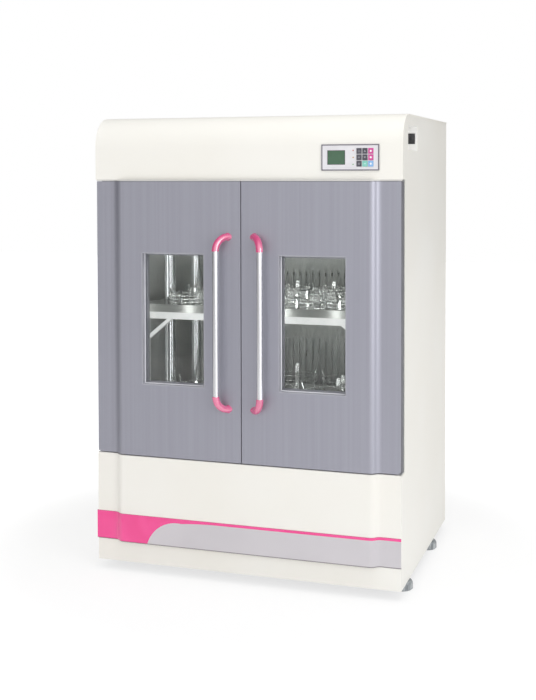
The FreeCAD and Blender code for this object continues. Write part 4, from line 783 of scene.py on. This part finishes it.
def front_run(inward):
    """Points along the cabinet's curved front in plan, from left to right, some way behind its surface."""
    outer_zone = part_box("plinth_panel")[0].y
    raised_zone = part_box("lower_front_panel")[0].y
    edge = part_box("lower_front_panel")[1].x
    width = STEP_OUTER - STEP_INNER
    rise = outer_zone - raised_zone
    radius = (width ** 2 + rise ** 2) / (4 * rise)
    turn = math.asin(width / 2 / radius)
    hollow, crown = radius + inward, radius - inward
    half = []
    for k in range(ARC_STEPS + 1):
        angle = turn * k / ARC_STEPS
        half.append(Vector((STEP_INNER + crown * math.sin(angle),
                            raised_zone + radius - crown * math.cos(angle), 0)))
    for k in range(ARC_STEPS - 1, -1, -1):
        angle = turn * k / ARC_STEPS
        half.append(Vector((STEP_OUTER - hollow * math.sin(angle),
                            outer_zone - radius + hollow * math.cos(angle), 0)))
    half.append(Vector((edge, outer_zone + inward, 0)))
    return [Vector((-point.x, point.y, 0)) for point in reversed(half)] + half


def front_strip(inner, outer, bottom, top):
    """A strip that follows the curved front between two depths and two levels."""
    front, back = front_run(outer), front_run(inner)
    count = len(front)
    corners = [point + Z * level for level in (bottom, top) for row in (front, back) for point in row]
    front_low, back_low, front_high, back_high = (count * i for i in range(4))
    edges = (front_low, front_high, back_high, back_low)
    faces = [(a + i, a + i + 1, b + i + 1, b + i)
             for i in range(count - 1) for a, b in zip(edges, edges[1:] + edges[:1])]
    faces += [tuple(edge + i for edge in edges) for i in (0, count - 1)]
    return corners, faces


def front_seams():
    """Pale edge strips on the head and the lower panel, and the dark seam strip under the trim and the film;
    the head strip's grey is painted shade under the head, and the seam strip's dark is also painted shadow in
    the seam.
    """
    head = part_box("door_skin_left")[1].z + HEAD_GAP
    foot, sill = (corner.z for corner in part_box("lower_front_panel"))
    # The head strip's grey is painted shade.
    piece("head_edge_strip", [front_strip(STRIP_DEPTH, HEAD_SETBACK, head - HEAD_STRIP, head)], "cabinet",
          head_edge_enamel)
    piece("sill_edge_strip", [front_strip(STRIP_DEPTH, EDGE_SETBACK, sill, sill + SILL_STRIP)], "cabinet",
          sill_edge_enamel)
    # A dark rubber strip that also stands as painted shadow in the seam.
    piece("foot_seam_strip", [front_strip(SEAM_DEPTH, EDGE_SETBACK, foot - FOOT_SEAM, foot)], "cabinet",
          seam_rubber)


def door_side_shade_guards():
    """Dark rubber guards on the hinge side of each door, dark as painted shade for the door's side face."""
    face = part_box("plinth_panel")[0].y
    for side, way in (("left", -1), ("right", 1)):
        low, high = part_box(f"door_skin_{side}")
        x = high.x if way > 0 else low.x
        proud = x + way * GUARD_THICKNESS
        front, back = face + GUARD_FROM_FRONT, high.y - GUARD_FROM_BACK
        bottom, top = low.z + GUARD_FROM_END, high.z - GUARD_FROM_END
        outline = [Vector((x, front, bottom)), Vector((proud, front + GUARD_CHAMFER, bottom)),
                   Vector((proud, back - GUARD_CHAMFER, bottom)), Vector((x, back, bottom))]
        guard = drawn_out(outline, Z * (top - bottom))
        # The guard's dark rubber is painted shade for the door's side face.
        piece(f"door_edge_guard_{side}", [guard], f"door_{side}", edge_rubber)


# Screws and plates on the sheet metal; a screw has the radius and the height of its head

SHEET_SCREW = (4.5 * MM, 2.4 * MM)
RIVET = (2.2 * MM, 1.2 * MM)
DUCT_SCREW = (4.2 * MM, 2.4 * MM)
PIVOT_SCREW = (3.4 * MM, 1.6 * MM)
BACK_INSET = 14.0 * MM
BACK_PITCH_UP = 0.26
BACK_PITCH_ACROSS = 0.27
PLATE_FROM_EDGE = 150 * MM
PLATE_FROM_FOOT = 250 * MM
PLATE_HALF_X = 45 * MM
PLATE_HALF_Z = 27 * MM
PLATE_CORNER = 3.0 * MM
PLATE_SHEET = 0.8 * MM
RIVET_INSET = 6 * MM
DUCT_INSET = 16.0 * MM
DUCT_PITCH = 0.3
PIVOT_SHEET = 4.0 * MM
PIVOT_INSET = 7.0 * MM
PIVOT_STEPS = (9.0 * MM, 20.0 * MM)


def spaced(start, end, most):
    """Even places from start to end, no further apart than a limit."""
    count = max(1, math.ceil(abs(end - start) / most))
    return [start + (end - start) * i / count for i in range(count + 1)]


def back_fittings():
    """Screws round the rear sheet and a bare aluminium plate riveted to it."""
    low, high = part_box("back_panel")
    face = high.y
    sides = (low.x + BACK_INSET, high.x - BACK_INSET)
    levels = (low.z + BACK_INSET, high.z - BACK_INSET)
    places = [(x, z) for z in spaced(*levels, BACK_PITCH_UP) for x in sides]
    places += [(x, z) for x in spaced(*sides, BACK_PITCH_ACROSS)[1:-1] for z in levels]
    screws = [screw_head(Vector((x, face, z)), Y, *SHEET_SCREW) for x, z in places]
    piece("back_screws", screws, "cabinet", zinc_plate)
    plate = Vector((high.x - PLATE_FROM_EDGE, face, low.z + PLATE_FROM_FOOT))
    loop = rounded_loop(-PLATE_HALF_X, PLATE_HALF_X, -PLATE_HALF_Z, PLATE_HALF_Z, PLATE_CORNER)
    outline = [point + plate for point, _ in loop]
    piece("bare_plate", [drawn_out(outline, Y * PLATE_SHEET)], "cabinet", blank_plate)
    rivet_x, rivet_z = PLATE_HALF_X - RIVET_INSET, PLATE_HALF_Z - RIVET_INSET
    rivets = [screw_head(plate + Vector((x, PLATE_SHEET, z)), Y, *RIVET)
              for x in (-rivet_x, rivet_x) for z in (-rivet_z, rivet_z)]
    piece("plate_rivets", rivets, "cabinet", zinc_plate)


def duct_screws():
    """Screws that hold the slotted sheet in the chamber."""
    low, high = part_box("air_duct_panel")
    screws = [screw_head(Vector((x, low.y, z)), -Y, *DUCT_SCREW)
              for x in (low.x + DUCT_INSET, high.x - DUCT_INSET)
              for z in spaced(low.z + DUCT_INSET, high.z - DUCT_INSET, DUCT_PITCH)]
    piece("duct_screws", screws, "cabinet", zinc_plate)


def hinge_screws():
    """Two screws in each pivot plate, above and below the doors."""
    low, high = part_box("hinge_brackets")
    screws = [screw_head(Vector((x, high.y - step, level)), Z * way, *PIVOT_SCREW)
              for x in (low.x + PIVOT_INSET, high.x - PIVOT_INSET)
              for level, way in ((low.z + PIVOT_SHEET, 1), (high.z - PIVOT_SHEET, -1)) for step in PIVOT_STEPS]
    piece("hinge_screws", screws, "cabinet", zinc_plate)


# Control panel

INK = 0.12 * MM
PRINT_STEPS = 20
MARK = 3.4 * MM
MARK_LINE = 0.5 * MM
STACK_LINE = 0.45 * MM
STACK_PITCH = 2.2 * MM
RING_LINE = 0.8 * MM
DOT = 3.3 * MM
DASH = 3.2 * MM
KEY_EDGE = 0.8 * MM
KEY_EDGE_ANGLE = math.radians(50)
LAMP_OFFSET = 10.0 * MM
LAMP_SINK = 0.8 * MM
LAMP_PITCH = 22.6 * MM


def printed_round(centre, outer, inner=0.0):
    """A thin printed dot, or a ring where it has an inner radius, on a face towards the front."""
    profile = [(inner, 0), (outer, 0), (outer, INK), (inner, INK)]
    return turned(profile + profile[:1] if inner else profile, centre, -Y, PRINT_STEPS)


def arrow(centre, up):
    """A thin printed triangle that points up or down."""
    outline = [centre + Vector((-MARK, 0, -up * 0.7 * MARK)), centre + Vector((MARK, 0, -up * 0.7 * MARK)),
               centre + Vector((0, 0, up * 0.8 * MARK))]
    return drawn_out(outline, -Y * INK)


def bar(centre, half_x, half_z):
    """A thin printed bar."""
    outline = [centre + Vector((x * half_x, -INK, z * half_z)) for x, z in ((-1, -1), (1, -1), (1, 1), (-1, 1))]
    return drawn_out(outline, Y * INK)


def key_marks():
    """Plain marks on the keys: a ring, arrows and bars on the dark ones, dots and a dash on the others."""
    for number in range(1, 10):
        low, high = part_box(f"key_{number}")
        centre = middle((low, high))
        centre.y = low.y
        edges = nodes[f"key_{number}"].modifiers.new("edges", "BEVEL")
        edges.width = KEY_EDGE
        edges.segments = 2
        edges.limit_method = "ANGLE"
        edges.angle_limit = KEY_EDGE_ANGLE
        finish = print_grey
        if number in (3, 6, 9):
            shapes, finish = [printed_round(centre, DOT)], print_white
        elif number == 8:
            shapes, finish = [bar(centre, DASH, MARK_LINE)], print_white
        elif number == 1:
            shapes = [printed_round(centre, MARK, MARK - RING_LINE)]
        elif number == 4:
            shapes = [bar(centre, MARK, MARK_LINE), bar(centre, MARK_LINE, MARK)]
        elif number in (2, 5):
            shapes = [arrow(centre, 1 if number == 2 else -1)]
        else:
            shapes = [bar(centre + Z * step * STACK_PITCH, MARK, STACK_LINE) for step in (-1, 0, 1)]
        piece(f"key_mark_{number}", shapes, f"key_{number}", finish)


def panel_lamps():
    """Three small domed lamp lenses left of the keys."""
    dome = [(2.0 * MM, 0), (1.9 * MM, 0.3 * MM), (1.2 * MM, 0.62 * MM), (0, 0.75 * MM)]
    for number, (level, code) in enumerate(((1, "#C8483C"), (0, "#D9A038"), (-1, "#5FAE62")), start=1):
        face = Vector((plate_centre.x + LAMP_OFFSET, plate_low.y + LAMP_SINK,
                       plate_centre.z + level * LAMP_PITCH))
        piece(f"lamp_lens_{number}", [turned(dome, face, -Y, 16)], "cabinet",
              lamp_lens(f"lamp_lens_{number}", code), crease=WIDE_CREASE)


# Stage


def studio_world():
    """An even pale studio: white behind the object, a level sky, and reflections that darken to the left."""
    world = bpy.data.worlds.new("studio")
    bpy.context.scene.world = world
    world.use_nodes = True
    tree = world.node_tree
    tree.nodes.clear()
    way = add(tree, "ShaderNodeTexCoord").outputs["Generated"]
    bright = (math.sin(BRIGHT_AZIMUTH), -math.cos(BRIGHT_AZIMUTH), 0.0)
    facing = add(tree, "ShaderNodeVectorMath", {0: way, 1: bright}, operation="DOT_PRODUCT")
    spread = add(tree, "ShaderNodeMapRange", {"Value": facing.outputs["Value"], "From Min": -1.0,
                                              "From Max": 1.0})
    shade = add(tree, "ShaderNodeValToRGB", {"Fac": spread},
                stops=[(place, grey(level)) for place, level in MIRRORED_SKY])
    level = add(tree, "ShaderNodeMath", {0: shade, 1: MIRRORED_PEAK}, operation="MULTIPLY")
    path = add(tree, "ShaderNodeLightPath")
    seen = add(tree, "ShaderNodeMath", {0: path.outputs["Is Camera Ray"],
                                        1: path.outputs["Is Transmission Ray"]}, operation="MAXIMUM")
    mirrored = add(tree, "ShaderNodeMix", {"Factor": path.outputs["Is Glossy Ray"], 2: SKY_LEVEL,
                                           3: level}, data_type="FLOAT")
    strength = add(tree, "ShaderNodeMix", {"Factor": seen, 2: mirrored, 3: 1.0}, data_type="FLOAT")
    light = add(tree, "ShaderNodeBackground", {"Color": rgb("#FFFFFF"), "Strength": strength})
    add(tree, "ShaderNodeOutputWorld", {"Surface": light})


def studio_floor():
    """A pale plain floor that meets the white background and keeps the object's soft shadow."""
    material, tree = blank("studio_floor")
    place = add(tree, "ShaderNodeTexCoord").outputs["Object"]
    parts = add(tree, "ShaderNodeSeparateXYZ", {0: place})
    path = add(tree, "ShaderNodeLightPath")
    reach = add(tree, "ShaderNodeVectorMath", {0: place}, operation="LENGTH")
    fade = add(tree, "ShaderNodeMapRange", {"Value": reach.outputs["Value"], "From Min": FLOOR_FADE_START,
                                            "From Max": FLOOR_FADE_END, "To Min": FLOOR_LIFT, "To Max": 1.0},
               interpolation_type="SMOOTHSTEP")
    seen = add(tree, "ShaderNodeMath", {0: path.outputs["Is Camera Ray"], 1: fade}, operation="MULTIPLY")
    side = add(tree, "ShaderNodeMapRange", {"Value": parts.outputs["X"], "From Min": -1.5, "From Max": 1.5,
                                            "To Min": 0.0, "To Max": FLOOR_MIRRORED})
    mirrored = add(tree, "ShaderNodeMath", {0: path.outputs["Is Glossy Ray"], 1: side}, operation="MULTIPLY")
    lift = add(tree, "ShaderNodeMath", {0: seen, 1: mirrored}, operation="ADD")
    albedo = add(tree, "ShaderNodeMix", {"Factor": path.outputs["Is Camera Ray"], 6: rgb("#F3F3F3"),
                                         7: grey(FLOOR_SEEN)}, data_type="RGBA")
    flat = add(tree, "ShaderNodeBsdfDiffuse", {"Color": albedo.outputs[2]})
    glow = add(tree, "ShaderNodeEmission", {"Color": rgb("#FFFFFF"), "Strength": lift})
    both = add(tree, "ShaderNodeAddShader", {0: flat, 1: glow})
    add(tree, "ShaderNodeOutputMaterial", {"Surface": both})
    mesh = bpy.data.meshes.new("studio_floor")
    mesh.from_pydata([(x * FLOOR_HALF, y * FLOOR_HALF, 0) for x, y in ((-1, -1), (1, -1), (1, 1), (-1, 1))], [],
                     [(0, 1, 2, 3)])
    mesh.materials.append(material)
    floor = bpy.data.objects.new("studio_floor", mesh)
    bpy.context.scene.collection.objects.link(floor)


def softbox(name, place, target, size, watts, tint=PLAIN_WHITE, mirrored=False, spreads=True):
    """A rectangular soft light, which shows in glossy surfaces or not, and lights matt ones or not."""
    light = bpy.data.lights.new(name, "AREA")
    light.shape = "RECTANGLE"
    light.size, light.size_y = size
    light.energy = watts
    light.color = tint
    lamp = bpy.data.objects.new(name, light)
    lamp.location = place
    lamp.rotation_euler = (Vector(target) - Vector(place)).to_track_quat("-Z", "Y").to_euler()
    lamp.visible_glossy = mirrored
    lamp.visible_diffuse = spreads
    bpy.context.scene.collection.objects.link(lamp)


def studio_lights():
    """Large soft lights at the right front, the left front and above, and the lights that fill the chamber."""
    softbox("right_front", (3.9, -3.15, 1.7), OBJECT_HEART, (2.9, 2.9), 69, COOL_WHITE, mirrored=True)
    softbox("left_front", (-2.9, -4.1, 1.5), OBJECT_HEART, (2.6, 2.6), 37, WARM_WHITE)
    softbox("overhead", (0.9, -0.9, 4.5), OBJECT_HEART, (3.0, 3.0), 60, COOL_WHITE)
    low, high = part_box("chamber_liner")
    front, level = low.y + CHAMBER_FRONT_GAP, (low.z + high.z) / 2
    softbox("chamber_front", (0, front, level), (0, high.y, level), (CHAMBER_LIGHT_WIDTH, 0.72), 1.35)
    for number, x in enumerate(GLINT_PLACES, start=1):
        softbox(f"chamber_glint_{number}", (x, front, level), (0.6 * x, high.y, level), (0.018, 0.7), 0.26,
                mirrored=True, spreads=False)
    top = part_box("air_duct_panel")[1].z - CHAMBER_TOP_GAP
    for number, share in enumerate(TOP_DEPTHS, start=1):
        y = low.y + share * (high.y - low.y)
        softbox(f"chamber_top_{number}", (0, y, top), (0, y, 0), (CHAMBER_LIGHT_WIDTH, 0.03), 0.5,
                mirrored=True, spreads=False)


def photo_camera():
    """The camera at the photograph's viewing angle and framing."""
    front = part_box("plinth_panel")[0].y
    right = Vector((math.cos(CAMERA_YAW), math.sin(CAMERA_YAW), 0))
    level = Vector((-math.sin(CAMERA_YAW), math.cos(CAMERA_YAW), 0))
    ahead = level * math.cos(CAMERA_PITCH) - Z * math.sin(CAMERA_PITCH)
    up = Z * math.cos(CAMERA_PITCH) + level * math.sin(CAMERA_PITCH)
    rolled_right = right * math.cos(CAMERA_ROLL) + up * math.sin(CAMERA_ROLL)
    rolled_up = up * math.cos(CAMERA_ROLL) - right * math.sin(CAMERA_ROLL)
    data = bpy.data.cameras.new("photo_camera")
    data.sensor_fit = "VERTICAL"
    data.sensor_height = SENSOR
    data.lens = FOCAL_PIXELS / IMAGE_HEIGHT * SENSOR
    data.shift_x = (IMAGE_WIDTH / 2 - AXIS_PIXEL_X) / IMAGE_HEIGHT
    data.shift_y = (AXIS_PIXEL_Y - IMAGE_HEIGHT / 2) / IMAGE_HEIGHT
    camera = bpy.data.objects.new("photo_camera", data)
    turn = Matrix((rolled_right, rolled_up, -ahead)).transposed()
    place = Matrix.Translation((CAMERA_SIDE, front - CAMERA_DISTANCE, CAMERA_HEIGHT))
    camera.matrix_world = place @ turn.to_4x4()
    bpy.context.scene.collection.objects.link(camera)
    bpy.context.scene.camera = camera


photo_camera()
studio_world()
studio_floor()
studio_lights()
dress_nodes()
door_seals()
glazing_beads()
flask_clamps()
post_fittings()
front_seams()
door_side_shade_guards()
back_fittings()
duct_screws()
hinge_screws()
key_marks()
panel_lamps()

bpy.context.scene.view_settings.view_transform = "Standard"
